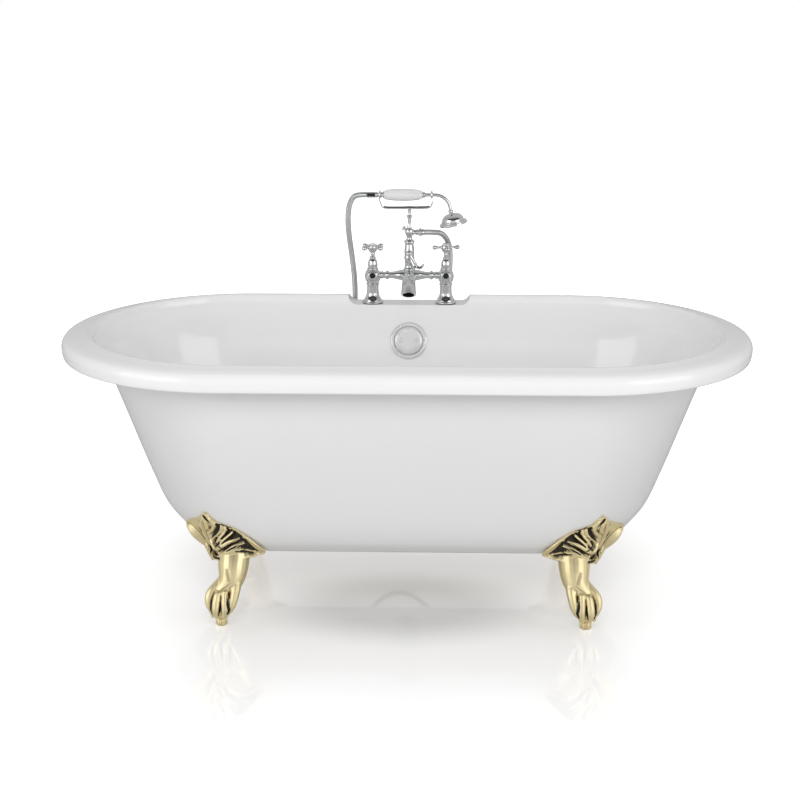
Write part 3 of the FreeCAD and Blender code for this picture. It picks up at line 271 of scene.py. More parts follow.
def make_carved_gold():
    """Pale gold plate, darkened with painted shade where the carving is deep."""
    material = make_finish("pale_gold", (0.96, 0.84, 0.52), (0.90, 0.77, 0.45), 1.0,
                           0.40, 0.52, 14, 0.15)
    nodes, links = material.node_tree.nodes, material.node_tree.links
    shader = nodes["Principled BSDF"]
    tint = shader.inputs["Base Color"].links[0].from_node
    gloss = shader.inputs["Roughness"].links[0].from_node
    groove_shade = nodes.new("ShaderNodeAttribute")
    groove_shade.attribute_name = "groove_shade"
    mask = add_range(nodes, 0.10, 0.62)
    shade = nodes.new("ShaderNodeMix")
    shade.data_type = "RGBA"
    # Painted shade: near-black brown, not metallic, wherever the groove_shade attribute marks hollows and
    # carved strokes.
    shade.inputs["B"].default_value = (0.016, 0.010, 0.004, 1)
    dull = add_range(nodes, 0.0, 1.0, to_max=0.6, smooth=False)
    plate = add_math(nodes, "SUBTRACT")
    plate.inputs[0].default_value = 1.0
    links.new(groove_shade.outputs["Fac"], mask.inputs["Value"])
    links.new(mask.outputs["Result"], shade.inputs["Factor"])
    links.new(tint.outputs["Result"], shade.inputs["A"])
    links.new(shade.outputs["Result"], shader.inputs["Base Color"])
    links.new(mask.outputs["Result"], dull.inputs["Value"])
    links.new(gloss.outputs["Roughness"], dull.inputs["To Min"])
    links.new(dull.outputs["Result"], shader.inputs["Roughness"])
    links.new(mask.outputs["Result"], plate.inputs[1])
    links.new(plate.outputs["Value"], shader.inputs["Metallic"])
    return material


def make_wound_metal():
    """Satin metal strip wound round the hose, its turns read from the run attribute."""
    material = make_finish("wound_metal", (0.62, 0.63, 0.64), (0.68, 0.69, 0.70), 1.0,
                           0.30, 0.42, 25, 0.1)
    nodes, links = material.node_tree.nodes, material.node_tree.links
    shader = nodes["Principled BSDF"]
    run = nodes.new("ShaderNodeAttribute")
    run.attribute_name = "run"
    pitch = add_math(nodes, "MULTIPLY")
    pitch.inputs[1].default_value = math.tau / hose_strip_pitch
    wave = add_math(nodes, "SINE")
    bump = shader.inputs["Normal"].links[0].from_node
    bump.inputs["Strength"].default_value = 0.5
    bump.inputs["Distance"].default_value = 0.0006
    links.new(run.outputs["Fac"], pitch.inputs[0])
    links.new(pitch.outputs["Value"], wave.inputs[0])
    links.new(wave.outputs["Value"], bump.inputs["Height"])
    return material


handling_marks = make_handling_marks()
finishes = {
    "acrylic": make_finish("white_acrylic", (0.92, 0.92, 0.915), (0.90, 0.902, 0.905), 0.0,
                           0.07, 0.13, 3.0, 0.03, 0.5),
    "board": make_finish("pressed_board", (0.55, 0.42, 0.28), (0.40, 0.29, 0.18), 0.0,
                         0.75, 0.95, 60.0, 0.9),
    "gold": make_carved_gold(),
    "zinc": make_finish("zinc_plate", (0.66, 0.67, 0.66), (0.55, 0.56, 0.52), 1.0,
                        0.32, 0.5, 30.0, 0.3),
    "chrome": make_finish("chrome_plate", (0.75, 0.755, 0.76), (0.71, 0.715, 0.72), 1.0,
                          0.05, 0.12, 18.0, 0.04),
    "brass": make_finish("turned_brass", (0.72, 0.55, 0.27), (0.62, 0.46, 0.22), 1.0,
                         0.25, 0.4, 40.0, 0.3),
    "rubber": make_finish("black_rubber", (0.03, 0.03, 0.03), (0.045, 0.045, 0.045), 0.0,
                          0.6, 0.8, 50.0, 0.5),
    "black_plastic": make_finish("moulded_plastic", (0.05, 0.05, 0.055), (0.07, 0.07, 0.075), 0.0,
                                 0.4, 0.55, 30.0, 0.4),
    "cable": make_finish("cable_sheath", (0.06, 0.06, 0.06), (0.09, 0.09, 0.09), 0.0,
                         0.45, 0.6, 60.0, 0.3),
    "ceramic": make_finish("white_glaze", (0.83, 0.83, 0.82), (0.80, 0.80, 0.80), 0.0,
                           0.05, 0.10, 30.0, 0.03, 0.6),
    "hose": make_wound_metal(),
}
# Painted shade: the same white acrylic, its colour set greyer for the skirt, which faces down and forward.
shaded_outer_white = make_finish("white_acrylic_outside_painted_shade", (0.82, 0.82, 0.82), (0.80, 0.802, 0.805), 0.0,
                          0.07, 0.13, 3.0, 0.03, 0.5)
satin_chrome = make_finish("satin_chrome", (0.84, 0.84, 0.84), (0.80, 0.80, 0.80), 0.35,
                           0.26, 0.36, 20.0, 0.1)
# Near-black painted shade for the overflow dial's holes, the pillar eyes, the spout's mouth and the knurled
# band.
painted_shade_black = make_finish("painted_shade_black", (0.02, 0.02, 0.022), (0.03, 0.03, 0.03), 0.6,
                        0.35, 0.5, 40.0, 0.2)


# ------------------------------------------------------------------ making pieces
def joined(shapes):
    """Several bmeshes as one; the parts are freed."""
    whole = bmesh.new()
    for shape in shapes:
        carrier = bpy.data.meshes.new("carrier")
        shape.to_mesh(carrier)
        shape.free()
        whole.from_mesh(carrier)
        bpy.data.meshes.remove(carrier)
    return whole


def finished(name, shapes, body, slot, *nodes, sharp=35.0, finish=None):
    """A piece of the bath, in metres, with its finish, its body and the CAD nodes it stands for."""
    whole = joined(shapes)
    bmesh.ops.scale(whole, vec=(MM, MM, MM), verts=whole.verts)
    mesh = bpy.data.meshes.new(name)
    whole.to_mesh(mesh)
    whole.free()
    mesh.shade_smooth()
    mesh.set_sharp_from_angle(angle=math.radians(sharp))
    mesh.materials.append(finish or finishes[slot])
    piece = bpy.data.objects.new(name, mesh)
    bpy.context.scene.collection.objects.link(piece)
    if body:
        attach(piece, body)
    if nodes:
        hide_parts(*nodes)
    return piece


def darken(piece, picks):
    """Gives the painted shade to the faces whose centre, in millimetres, and normal are picked."""
    piece.data.materials.append(painted_shade_black)
    for face in piece.data.polygons:
        if picks(Vector(face.center) / MM, face.normal):
            face.material_index = 1


def place_matrix(place, direction=Z):
    turn = Z.rotation_difference(Vector(direction))
    return Matrix.Translation(place) @ turn.to_matrix().to_4x4()


def run(*points, steps=5):
    """A smooth run of profile points through the given ones."""
    line = [Vector(point) for point in points]
    padded = [line[0] * 2 - line[1]] + line + [line[-1] * 2 - line[-2]]
    smooth = []
    for a, b, c, d in zip(padded, padded[1:], padded[2:], padded[3:]):
        for step in range(steps):
            t = step / steps
            smooth.append(0.5 * ((2 * b) + (c - a) * t + (2 * a - 5 * b + 4 * c - d) * t * t
                                 + (3 * b - a - 3 * c + d) * t ** 3))
    return [tuple(point) for point in smooth] + [tuple(line[-1])]


def turned(profile, place=(0, 0, 0), direction=Z, sides=48, closed=False):
    """A solid of revolution from a profile of (radius, height) points."""
    shape = bmesh.new()
    verts = [shape.verts.new((radius, 0, height)) for radius, height in profile]
    loops = list(zip(verts, verts[1:]))
    if closed:
        loops.append((verts[-1], verts[0]))
    edges = [shape.edges.new(pair) for pair in loops if pair[0].co != pair[1].co]
    bmesh.ops.spin(shape, geom=verts + edges, cent=(0, 0, 0), axis=(0, 0, 1), angle=math.tau,
                   steps=sides, use_merge=True)
    bmesh.ops.remove_doubles(shape, verts=shape.verts, dist=0.01)
    bmesh.ops.recalc_face_normals(shape, faces=shape.faces)
    bmesh.ops.transform(shape, matrix=place_matrix(place, direction), verts=shape.verts)
    return shape


def ball(radius, place, stretch=(1, 1, 1), sides=24):
    shape = bmesh.new()
    bmesh.ops.create_uvsphere(shape, u_segments=sides, v_segments=sides * 2 // 3, radius=radius)
    bmesh.ops.scale(shape, vec=stretch, verts=shape.verts)
    bmesh.ops.translate(shape, vec=place, verts=shape.verts)
    return shape


def smooth_line(stations, order=3, resolution=6):
    """A curve without a section, through stations of (x, y, z, radius)."""
    line = bpy.data.curves.new("line", "CURVE")
    line.dimensions = "3D"
    line.resolution_u = resolution
    spline = line.splines.new("NURBS")
    spline.points.add(len(stations) - 1)
    for point, (x, y, z, radius) in zip(spline.points, stations):
        point.co = (x, y, z, 1)
        point.radius = radius
    spline.order_u = order
    spline.use_endpoint_u = True
    return line


def rod(stations, sides=12, order=3, resolution=6, caps=True):
    """A round rod along a smooth line of (x, y, z, radius) stations."""
    line = smooth_line(stations, order, resolution)
    line.bevel_depth = 1
    line.bevel_resolution = max(1, sides // 4 - 1)
    line.use_fill_caps = caps
    carrier = bpy.data.objects.new("line", line)
    mesh = bpy.data.meshes.new_from_object(carrier)
    shape = bmesh.new()
    shape.from_mesh(mesh)
    bpy.data.objects.remove(carrier)
    bpy.data.curves.remove(line)
    bpy.data.meshes.remove(mesh)
    bmesh.ops.remove_doubles(shape, verts=shape.verts, dist=0.01)
    bmesh.ops.recalc_face_normals(shape, faces=shape.faces)
    return shape


# ------------------------------------------------------------------ bath shell and skirt
def eased(levels, spacing):
    """The levels with more between them, on a smooth curve that never overshoots them."""
    runs = [math.dist(first, second) for first, second in zip(levels, levels[1:])]
    rates = [[(b - a) / length for a, b in zip(first, second)]
             for first, second, length in zip(levels, levels[1:], runs)]
    tangents = [rates[0]]
    for before, after in zip(rates, rates[1:]):
        tangents.append([2 * a * b / (a + b) if a * b > 0 else 0.0 for a, b in zip(before, after)])
    tangents.append(rates[-1])
    finer = []
    for index, length in enumerate(runs):
        first, second = levels[index], levels[index + 1]
        leave, arrive = tangents[index], tangents[index + 1]
        steps = max(1, round(length / spacing))
        for step in range(steps):
            t = step / steps
            finer.append(tuple(
                first[k] * (1 + 2 * t) * (1 - t) ** 2 + leave[k] * length * t * (1 - t) ** 2
                + second[k] * t * t * (3 - 2 * t) - arrive[k] * length * t * t * (1 - t)
                for k in range(3)))
    return finer + [levels[-1]]


def rim_level(height, share):
    return (height, share * rim_width_end, share * rim_width_side)


def wall_level(height, end, side):
    return (height, rim_width_end + end, rim_width_side + side)


roll_levels = [rim_level(rim_bottom, 0.04), rim_level(rim_bottom + 8, 0.01),
               rim_level(rim_bottom + 20, 0.0), rim_level(rim_height - 19, 0.03),
               rim_level(rim_height - 11, 0.12), rim_level(rim_height - 6.5, 0.30),
               rim_level(rim_height - 3.2, 0.55), rim_level(rim_height, 0.78)]
lip_levels = [rim_level(rim_height, 0.82), rim_level(rim_height - 1.6, 0.91),
              rim_level(rim_height - 6, 0.975), wall_level(rim_height - 16, 0, 0),
              wall_level(rim_height - 28, 9, 5)]
basin_levels = [wall_level(rim_height - 28, 9, 5), wall_level(rim_height - 46, 27, 17),
                wall_level(rim_height - 70, 38, 30), wall_level(rim_height - 104, 51, 45),
                wall_level(rim_height - 170, 76, 60), wall_level(rim_height - 240, 103, 74),
                wall_level(rim_height - 320, 138, 90), wall_level(basin_floor + 51, 172, 108),
                wall_level(basin_floor + 21, 203, 128), wall_level(basin_floor + 7, 232, 152),
                wall_level(basin_floor, 270, 188)]
skirt_levels = eased([(skirt_bottom, 273, 172), (skirt_bottom + 30, 248, 147),
                      (skirt_bottom + 70, 218, 130), (skirt_bottom + 140, 189, 114),
                      (skirt_bottom + 290, 135, 85), (rim_bottom + 2, 90, 64)], 8.0)


def inset_at(levels, height, column):
    for low, high in zip(levels, levels[1:]):
        if low[0] <= height <= high[0]:
            return low[column] + (height - low[0]) / (high[0] - low[0]) * (high[column] - low[column])
    return levels[0][column] if height < levels[0][0] else levels[-1][column]


def on_oval(angle, level):
    """The point at an angle of the outline, straight sided with round ends, at one level."""
    height, end, side = level
    radius = half_width - side
    straight = half_length - end - radius
    x, y = math.cos(angle), math.sin(angle)
    return Vector((math.copysign(straight, x) + radius * x, radius * y, height))


def oval_sheet(levels, sides=160):
    """The outlines of a wall, from the first level to the last, as one smooth sheet."""
    sheet = bmesh.new()
    turn = sheet.verts.layers.float.new("turn")
    bmesh.ops.create_circle(sheet, segments=sides, radius=1,
                            matrix=Matrix.Rotation(math.pi / sides, 4, "Z"))
    for vert in sheet.verts:
        vert[turn] = math.atan2(vert.co.y, vert.co.x)
    ring = set(sheet.verts)
    edges = list(sheet.edges)
    for vert in ring:
        vert.co = on_oval(vert[turn], levels[0])
    for level in levels[1:]:
        grown = bmesh.ops.extrude_edge_only(sheet, edges=edges)["geom"]
        ring = {item for item in grown if isinstance(item, bmesh.types.BMVert)}
        edges = [item for item in grown if isinstance(item, bmesh.types.BMEdge)
                 and item.verts[0] in ring and item.verts[1] in ring]
        for vert in ring:
            vert.co = on_oval(vert[turn], level)
    return sheet, ring, edges, turn


def deck_height(x):
    """The mixer's deck: flat, with a hollow quarter round up to the rim at each end."""
    past = abs(x) - (deck_half - deck_end_radius)
    if past <= 0:
        return deck_z
    if past >= deck_end_radius + 0.01:
        return rim_height + 1
    return deck_z + deck_end_radius - math.sqrt(max(deck_end_radius ** 2 - past ** 2, 0))


def add_wall(piece, thickness):
    """Gives a sheet its thickness, on the side away from its outer face."""
    wall = piece.modifiers.new("wall", "SOLIDIFY")
    wall.thickness = thickness * MM
    wall.offset = -1


def make_bath_shell():
    levels = eased(roll_levels, 3.0) + eased(lip_levels, 3.0) + eased(basin_levels, 9.0)[1:]
    sheet, ring, edges, turn = oval_sheet(levels)
    for shrink in (0.7, 0.42, 0.2, 0.08):
        grown = bmesh.ops.extrude_edge_only(sheet, edges=edges)["geom"]
        ring = {item for item in grown if isinstance(item, bmesh.types.BMVert)}
        edges = [item for item in grown if isinstance(item, bmesh.types.BMEdge)
                 and item.verts[0] in ring and item.verts[1] in ring]
        outer = basin_levels[-1]
        for vert in ring:
            wide = on_oval(vert[turn], outer)
            hole = Vector((drain_radius * math.cos(vert[turn]),
                           waste_y + drain_radius * math.sin(vert[turn]), basin_floor))
            vert.co = hole.lerp(wide, shrink)
    bmesh.ops.contextual_create(sheet, geom=edges)
    flat = deck_half - deck_end_radius
    cuts = [0, 30, 60, 90, 110, flat, deck_half, deck_half + 0.6, deck_half + 9]
    cuts += [flat + deck_end_radius * math.sin(math.radians(15 * step)) for step in range(1, 6)]
    for place in sorted({side * cut for cut in cuts for side in (-1, 1)}):
        bmesh.ops.bisect_plane(sheet, geom=sheet.verts[:] + sheet.edges[:] + sheet.faces[:],
                               dist=0.001, plane_co=(place, 0, 0), plane_no=(1, 0, 0))
    for vert in sheet.verts:
        if vert.co.y > deck_near and abs(vert.co.x) <= deck_half + 0.01:
            vert.co.z = min(vert.co.z, deck_height(vert.co.x))
    bmesh.ops.remove_doubles(sheet, verts=sheet.verts, dist=0.25)
    bmesh.ops.recalc_face_normals(sheet, faces=sheet.faces)
    shell = finished("bath_shell_skin", [sheet], "root", "acrylic", "bath_shell", sharp=50)
    add_wall(shell, shell_wall)


def make_skirt():
    down = list(reversed(skirt_levels))
    low = down.pop()
    fillet = [(skirt_bottom + 4, low[1] - 3.2, low[2] - 3.4),
              (skirt_bottom + 1.4, low[1] - 0.6, low[2] - 0.6),
              (skirt_bottom, low[1] + 2.2, low[2] + 2.2), (skirt_bottom, low[1] + 8, low[2] + 8),
              (skirt_bottom, low[1] + 62, low[2] + 62)]
    sheet, _, _, _ = oval_sheet(down + fillet)
    bmesh.ops.recalc_face_normals(sheet, faces=sheet.faces)
    top = max(sheet.faces, key=lambda face: face.calc_center_median().z)
    away = top.calc_center_median().xy
    if top.normal.xy.dot(away) < 0:
        bmesh.ops.reverse_faces(sheet, faces=sheet.faces)
    # The skirt takes the greyer acrylic as painted shade.
    skirt = finished("outer_skirt_skin", [sheet], "root", "acrylic", "outer_skirt", sharp=60,
                     finish=shaded_outer_white)
    add_wall(skirt, skirt_wall)


# ------------------------------------------------------------------ claw feet
corners = (("rear_right", 1, 1), ("rear_left", -1, 1), ("front_right", 1, -1), ("front_left", -1, -1))
outwards = Vector((math.cos(foot_angle), math.sin(foot_angle), 0))
sideways = Vector((math.sin(foot_angle), -math.cos(foot_angle), 0))
paw_front = Vector((math.cos(paw_angle), math.sin(paw_angle), 0))
paw_side = Vector((math.sin(paw_angle), -math.cos(paw_angle), 0))


def skirt_reach(across, height):
    """How far outwards from the foot's middle the skirt's surface is, at a place across the foot."""
    level = max(height, skirt_bottom)
    end, side = inset_at(skirt_levels, level, 1), inset_at(skirt_levels, level, 2)
    radius = half_width - side
    centre = Vector((half_length - end - radius, 0, 0))
    origin = foot_place + sideways * across - centre
    along = origin.dot(outwards)
    gap = radius ** 2 - (origin.length_squared - along ** 2)
    reach = -along + math.sqrt(max(gap, 0))
    if (origin + outwards * reach).x < 0:
        reach = (radius - foot_place.y - sideways.y * across) / outwards.y
    return reach


def leaf_front(across, height):
    """The carved leaf's face: the skirt's surface, swelling out where it meets the leg."""
    swell = min(max((222 - height) / 62, 0), 1)
    swell = swell * swell * (3 - 2 * swell) * math.exp(-((across + 2) / 52) ** 2)
    reach = skirt_reach(across, height) + leaf_swell * swell
    return reach + 0.45 * max(skirt_bottom - height, 0)


def leaf_point(across, height, depth):
    """A place on the leaf, by its distance across and up, and its depth out of the face."""
    def face(a, h):
        return foot_place + outwards * leaf_front(a, h) + sideways * a + Z * h
    spread = face(across + 1, height) - face(across - 1, height)
    rise = face(across, height + 1) - face(across, height - 1)
    normal = rise.cross(spread).normalized()
    if normal.dot(outwards) < 0:
        normal = -normal
    return face(across, height) + normal * depth


def lock(*stations, sides=10):
    """A raised lock of the carving along (across, height, depth, radius) stations."""
    shape = rod(stations, sides=sides, resolution=5)
    for vert in shape.verts:
        vert.co = leaf_point(*vert.co)
    bmesh.ops.recalc_face_normals(shape, faces=shape.faces)
    return shape


def leaf_plate(outline, low, high):
    """The leaf's body between two depths, cut to its outline and bent over the skirt."""
    shape = bmesh.new()
    face = shape.faces.new([shape.verts.new((across, height, low)) for across, height in outline])
    grown = bmesh.ops.extrude_face_region(shape, geom=[face])["geom"]
    for item in grown:
        if isinstance(item, bmesh.types.BMVert):
            item.co.z = high
    cuts = [((step * leaf_cut + 0.3, 0, 0), (1, 0, 0)) for step in range(-14, 26)]
    cuts += [((0, step * leaf_cut + 0.3, 0), (0, 1, 0)) for step in range(26, 54)]
    for place, facing in cuts:
        bmesh.ops.bisect_plane(shape, geom=shape.verts[:] + shape.edges[:] + shape.faces[:],
                               dist=0.01, plane_co=place, plane_no=facing)
    for vert in shape.verts:
        vert.co = leaf_point(*vert.co)
    bmesh.ops.triangulate(shape, faces=shape.faces)
    bmesh.ops.recalc_face_normals(shape, faces=shape.faces)
    return shape


def leg_lump(out, across, height, depth_radius, width_radius, height_radius):
    """A rounded mass of the leg, placed outwards, across and up from the foot's middle."""
    shape = bmesh.new()
    bmesh.ops.create_uvsphere(shape, u_segments=28, v_segments=20, radius=1)
    bmesh.ops.scale(shape, vec=(depth_radius, width_radius, height_radius), verts=shape.verts)
    bmesh.ops.rotate(shape, matrix=Matrix.Rotation(foot_angle, 3, "Z"), verts=shape.verts)
    bmesh.ops.translate(shape, vec=foot_place + outwards * out + sideways * across + Z * height,
                        verts=shape.verts)
    return shape


def leg_rod(*stations, sides=12):
    """A muscle or swirl of the leg along (out, across, height, radius) stations."""
    shape = rod(stations, sides=sides, resolution=5)
    for vert in shape.verts:
        out, across, height = vert.co
        vert.co = foot_place + outwards * out + sideways * across + Z * height
    bmesh.ops.recalc_face_normals(shape, faces=shape.faces)
    return shape


def toe(*stations, sides=14):
    """A toe or claw of the paw along (across, forward, height, radius) stations."""
    shape = rod(stations, sides=sides, resolution=5)
    for vert in shape.verts:
        across, forward, height = vert.co
        vert.co = foot_place + paw_front * forward + paw_side * across + Z * height
    bmesh.ops.recalc_face_normals(shape, faces=shape.faces)
    return shape


def carved_foot():
    """Every lump of the claw foot at the rear right, before they are made one skin."""
    outline = [(121, 208), (111, 216), (91, 226), (73, 233), (57, 240), (45, 250), (36, 259),
               (31, 255), (25, 246), (16, 240), (6, 237), (-4, 233), (-19, 230), (-31, 226),
               (-39, 219), (-47, 212), (-55, 204), (-62, 195), (-68, 184), (-73, 172),
               (-70, 163), (-62, 156), (-50, 151), (-35, 150), (-22, 148), (-2, 144), (25, 138),
               (50, 136), (66, 138), (80, 144), (93, 153), (104, 163), (113, 176), (119, 190)]
    shapes = [leaf_plate(outline, 0.0, 4.5)]
    # plain outer lobe, its rolled edge and the lobe with the slot
    shapes.append(lock((119, 206, 3, 2.5), (110, 205, 5, 9), (98, 195, 6, 14), (88, 180, 7, 14),
                       (77, 163, 7, 10), (62, 148, 6, 7)))
    shapes.append(lock((120, 207, 4, 2.2), (117, 190, 4, 2.8), (110, 176, 4, 3.0), (100, 163, 4, 3.2),
                       (88, 153, 5, 3.4), (72, 145, 6, 3.6), (54, 139, 6, 3.8), (36, 136, 6, 4)))
    shapes.append(lock((118, 210, 4, 2.0), (98, 221, 4, 2.4), (76, 231, 4, 2.6), (57, 239, 4, 2.6),
                       (44, 250, 4, 2.6), (37, 258, 4, 2.4)))
    shapes.append(lock((46, 252, 4, 3), (52, 238, 5, 5.0), (56, 220, 5, 5.6), (57, 200, 5, 5.6),
                       (55, 182, 5, 5.2), (52, 166, 6, 4.6)))
    shapes.append(lock((38, 257, 4, 3), (34, 250, 5, 2.4), (23, 236, 5, 3.5), (20, 226, 6, 5),
                       (28, 214, 7, 5.5), (42, 204, 7, 4)))
    shapes.append(lock((44, 254, 4, 3), (43, 243, 6, 4.4), (40, 230, 6.5, 5), (43, 216, 7, 5)))
    # curl at the middle of the top edge
    shapes.append(lock((25, 247, 4, 2.4), (18, 240, 6, 3.4), (14, 232, 7, 3.2), (20, 224, 7, 3)))
    shapes.append(lock((0, 234, 5, 2.6), (0, 226, 7, 4.4), (7, 215, 8, 4.6), (18, 204, 8.5, 4.4),
                       (26, 194, 8.5, 4.0), (28, 186, 8, 3.2)))
    # mane locks sweeping up to the right
    shapes.append(lock((-8, 228, 6, 3.0), (-7, 220, 7, 4.0), (0, 208, 8, 4.4), (9, 196, 8.5, 4.0),
                       (14, 186, 8, 3.0)))
    shapes.append(lock((-25, 220, 6, 2.6), (-20, 215, 7, 3.6), (-11, 205, 8.5, 4.2), (-2, 194, 9, 4.2),
                       (4, 186, 8.5, 3.0)))
    shapes.append(lock((-44, 206, 6, 2.0), (-33, 203, 8, 3.4), (-17, 195, 10, 4.6), (-3, 186, 10.5, 4.8),
                       (8, 178, 10, 4.4), (20, 170, 9, 3.6)))
    shapes.append(lock((-44, 194, 6, 2.0), (-38, 192, 7.5, 3.0), (-27, 188, 9, 3.8), (-17, 180, 10, 4.2),
                       (-6, 171, 10, 4.0), (6, 164, 10, 3.4)))
    shapes.append(lock((-36, 180, 6, 2.0), (-31, 178, 8, 3.0), (-21, 175, 9, 3.8), (-8, 166, 10, 4.4),
                       (6, 158, 10, 4.4)))
    # rolled edge of the right-hand side, and the beads along the tip
    shapes.append(lock((-5, 233, 4, 2.2), (-19, 229, 5, 2.4), (-31, 225, 5, 2.4), (-46, 211, 5, 2.6),
                       (-61, 194, 5, 2.6), (-68, 182, 5, 2.6), (-72, 170, 4, 2.2)))
    shapes.append(lock((-71, 168, 4, 2.4), (-62, 159, 6, 3.2), (-48, 154, 7, 3.6), (-34, 152, 8, 3.6)))
    for across, height, depth, radius in ((-10, 160, 10, 6.0), (-25, 158, 9, 4.8), (-38, 157, 8, 5.0),
                                          (-52, 156, 7, 4.0), (-32, 166, 8, 3.4), (-60, 160, 5, 3.0),
                                          (8, 151, 11, 5.6)):
        shapes.append(lock((across - 3, height, depth, radius * 0.5), (across, height + 1, depth, radius),
                           (across + 3, height, depth, radius * 0.5)))
    # ribbed hollow left of the middle and the lump that closes it
    shapes.append(lock((42, 186, 6, 2.6), (34, 178, 8, 3.2), (25, 170, 9, 3.4), (13, 163, 9.5, 3.0)))
    shapes.append(lock((52, 172, 6, 2.6), (42, 163, 8, 2.8), (30, 158, 9, 2.8), (16, 155, 9, 2.6)))
    shapes.append(lock((58, 147, 5, 4), (44, 141, 7, 5), (28, 141, 9, 5.2), (12, 145, 10, 4.6)))
    # leg: one broad smooth shank running down into the ankle
    shapes.append(leg_lump(-52, 0, 168, 22, 38, 24))
    shapes.append(leg_rod((-52, -5, 168, 34), (-38, -9, 142, 35), (-27, -15, 121, 32.5),
                          (-17, -16, 102, 28), (-8, -8, 86, 24), (0, -2, 72, 24), sides=36))
    # paw: pad, four toes, their claws
    shapes.append(toe((-4, -10, 88, 20), (-4, -8, 66, 26), (-3, -8, 46, 25), (-2, -6, 30, 18), sides=32))
    shapes.append(toe((-8, -8, 110, 11), (5, 4, 97, 9.5), (20, 14, 82, 10.5), (23.5, 20, 62, 10),
                      (17, 23, 45, 8.5), (10, 22, 32, 6)))
    shapes.append(toe((-34, -12, 116, 13), (-36, 0, 102, 12), (-36, 10, 88, 11.5), (-32.5, 17, 70, 10.5),
                      (-28.5, 21, 54, 10), (-21, 23, 42, 8.5), (-13, 22, 32, 6)))
    shapes.append(toe((0, 22, 88, 7), (4, 28, 68, 9.5), (5, 32, 50, 10), (4, 31, 38, 8.5),
                      (3, 29, 30, 5.5)))
    shapes.append(toe((-15, 22, 90, 7), (-15, 28, 70, 8.5), (-16, 32, 50, 8.5), (-14, 31, 38, 7.5),
                      (-12, 29, 30, 5)))
    for across, forward in ((15, 26), (4, 33), (-13, 33), (-20, 26)):
        shapes.append(toe((across, forward, 38, 4.6), (across * 0.95, forward + 3, 30, 3.8),
                          (across * 0.85, forward - 1, 25.6, 1.6), sides=10))
    return shapes


# strokes of the carving, each a line of (across, height, half width) over the foot's front, cut in and given
# painted shade
leaf_grooves = [
    [(41, 249, 2.2), (36, 239, 3.0), (27, 228, 2.2)],
    [(73, 206, 2.6), (70, 190, 4.6), (66, 173, 4.8), (60, 158, 4.4), (50, 145, 3.0)],
    [(11, 232, 2.6), (8, 220, 3.8), (16, 208, 3.6), (30, 198, 3.8), (36, 189, 3.6), (30, 180, 2.6)],
    [(56, 166, 2.6), (46, 154, 4.4), (28, 150, 4.4), (10, 149, 2.6)],
    [(46, 174, 2.0), (34, 167, 3.4), (20, 161, 2.4)],
    [(22, 184, 2.4), (8, 181, 3.0), (-4, 176, 2.6)],
    [(-15, 228, 3.4), (-16, 220, 4.2), (-8, 209, 3.0), (2, 198, 2.4)],
    [(-24, 224, 2.4), (-30, 216, 4.0), (-22, 207, 3.6), (-12, 198, 3.4), (-2, 190, 2.4)],
    [(-42, 200, 2.6), (-32, 197, 3.6), (-20, 188, 3.4), (-8, 180, 2.4)],
    [(-44, 187, 3.0), (-34, 185, 3.6), (-24, 180, 3.2), (-12, 172, 2.4)],
    [(-31, 220, 2.4), (-38, 211, 3.6), (-46, 200, 4.0), (-53, 188, 4.0), (-58, 177, 3.6),
     (-62, 168, 2.6)],
    [(-40, 180, 3.0), (-48, 178, 5.0), (-56, 172, 4.0)],
    [(-30, 172, 2.4), (-42, 168, 4.0), (-52, 164, 3.0)],
]
paw_grooves = [
    [(6, 94, 2.0), (13, 77, 3.2), (15, 61, 3.6), (16, 46, 3.2), (13, 36, 2.4)],
    [(-28, 98, 2.0), (-22, 82, 3.0), (-23, 64, 3.6), (-26, 48, 3.2), (-22, 38, 2.4)],
    [(-6, 68, 1.6), (-6, 52, 3.2), (-5, 36, 4.6), (-5, 27, 4.0)],
    [(-27, 106, 2.4), (-17, 97, 3.4), (-4, 89, 3.2), (8, 86, 2.4)],
    [(-16, 140, 4.0), (-19, 126, 9.0), (-24, 112, 6.0)],
]


def depth_in_stroke(across, height, stroke):
    """1 on the middle line of a stroke of (across, height, half width), falling to 0 at its edge."""
    best = 0.0
    for (a0, h0, w0), (a1, h1, w1) in zip(stroke, stroke[1:]):
        run_a, run_h = a1 - a0, h1 - h0
        t = ((across - a0) * run_a + (height - h0) * run_h) / (run_a ** 2 + run_h ** 2)
        t = min(max(t, 0), 1)
        gap = math.hypot(across - a0 - t * run_a, height - h0 - t * run_h)
        best = max(best, 1 - gap / (w0 + t * (w1 - w0)))
    return best


def carve(shape):
    """Cuts the strokes into the foot's front and marks them, and the leaf's floor, with painted shade."""
    shape.normal_update()
    layer = shape.verts.layers.float["groove_shade"]
    moves = []
    for vert in shape.verts:
        place = vert.co - foot_place
        on_leaf = vert.co.z > leaf_low_edge
        front, beside = (outwards, sideways) if on_leaf else (paw_front, paw_side)
        if vert.normal.dot(front) < 0.05:
            continue
        across, height = place.dot(beside), vert.co.z
        strokes = leaf_grooves if on_leaf else paw_grooves
        deep = max(depth_in_stroke(across, height, stroke) for stroke in strokes)
        # The painted shade is kept faint over the ankle.
        if ankle_low < height < ankle_high:
            vert[layer] *= 0.25
        # Painted shade on the leaf's floor between the locks.
        if on_leaf and 0.685 * (height - 222) - 30 < across < 26 and 150 < height < 234:
            raised = place.dot(outwards) - leaf_front(across, height)
            if raised < leaf_floor_depth:
                vert[layer] = max(vert[layer], 0.8)
        # Painted shade along the carved strokes, fading up the paw above the claws.
        if deep > 0:
            fading = max(0.34, 1 - (height - claws_top) / 42)
            dark = 1.0 if on_leaf or height < claws_top else fading
            vert[layer] = max(vert[layer], min(1.5 * deep, 1) * dark)
            moves.append((vert, vert.normal * (-carve_depth * dark * deep * deep * (3 - 2 * deep))))
    for vert, move in moves:
        vert.co += move


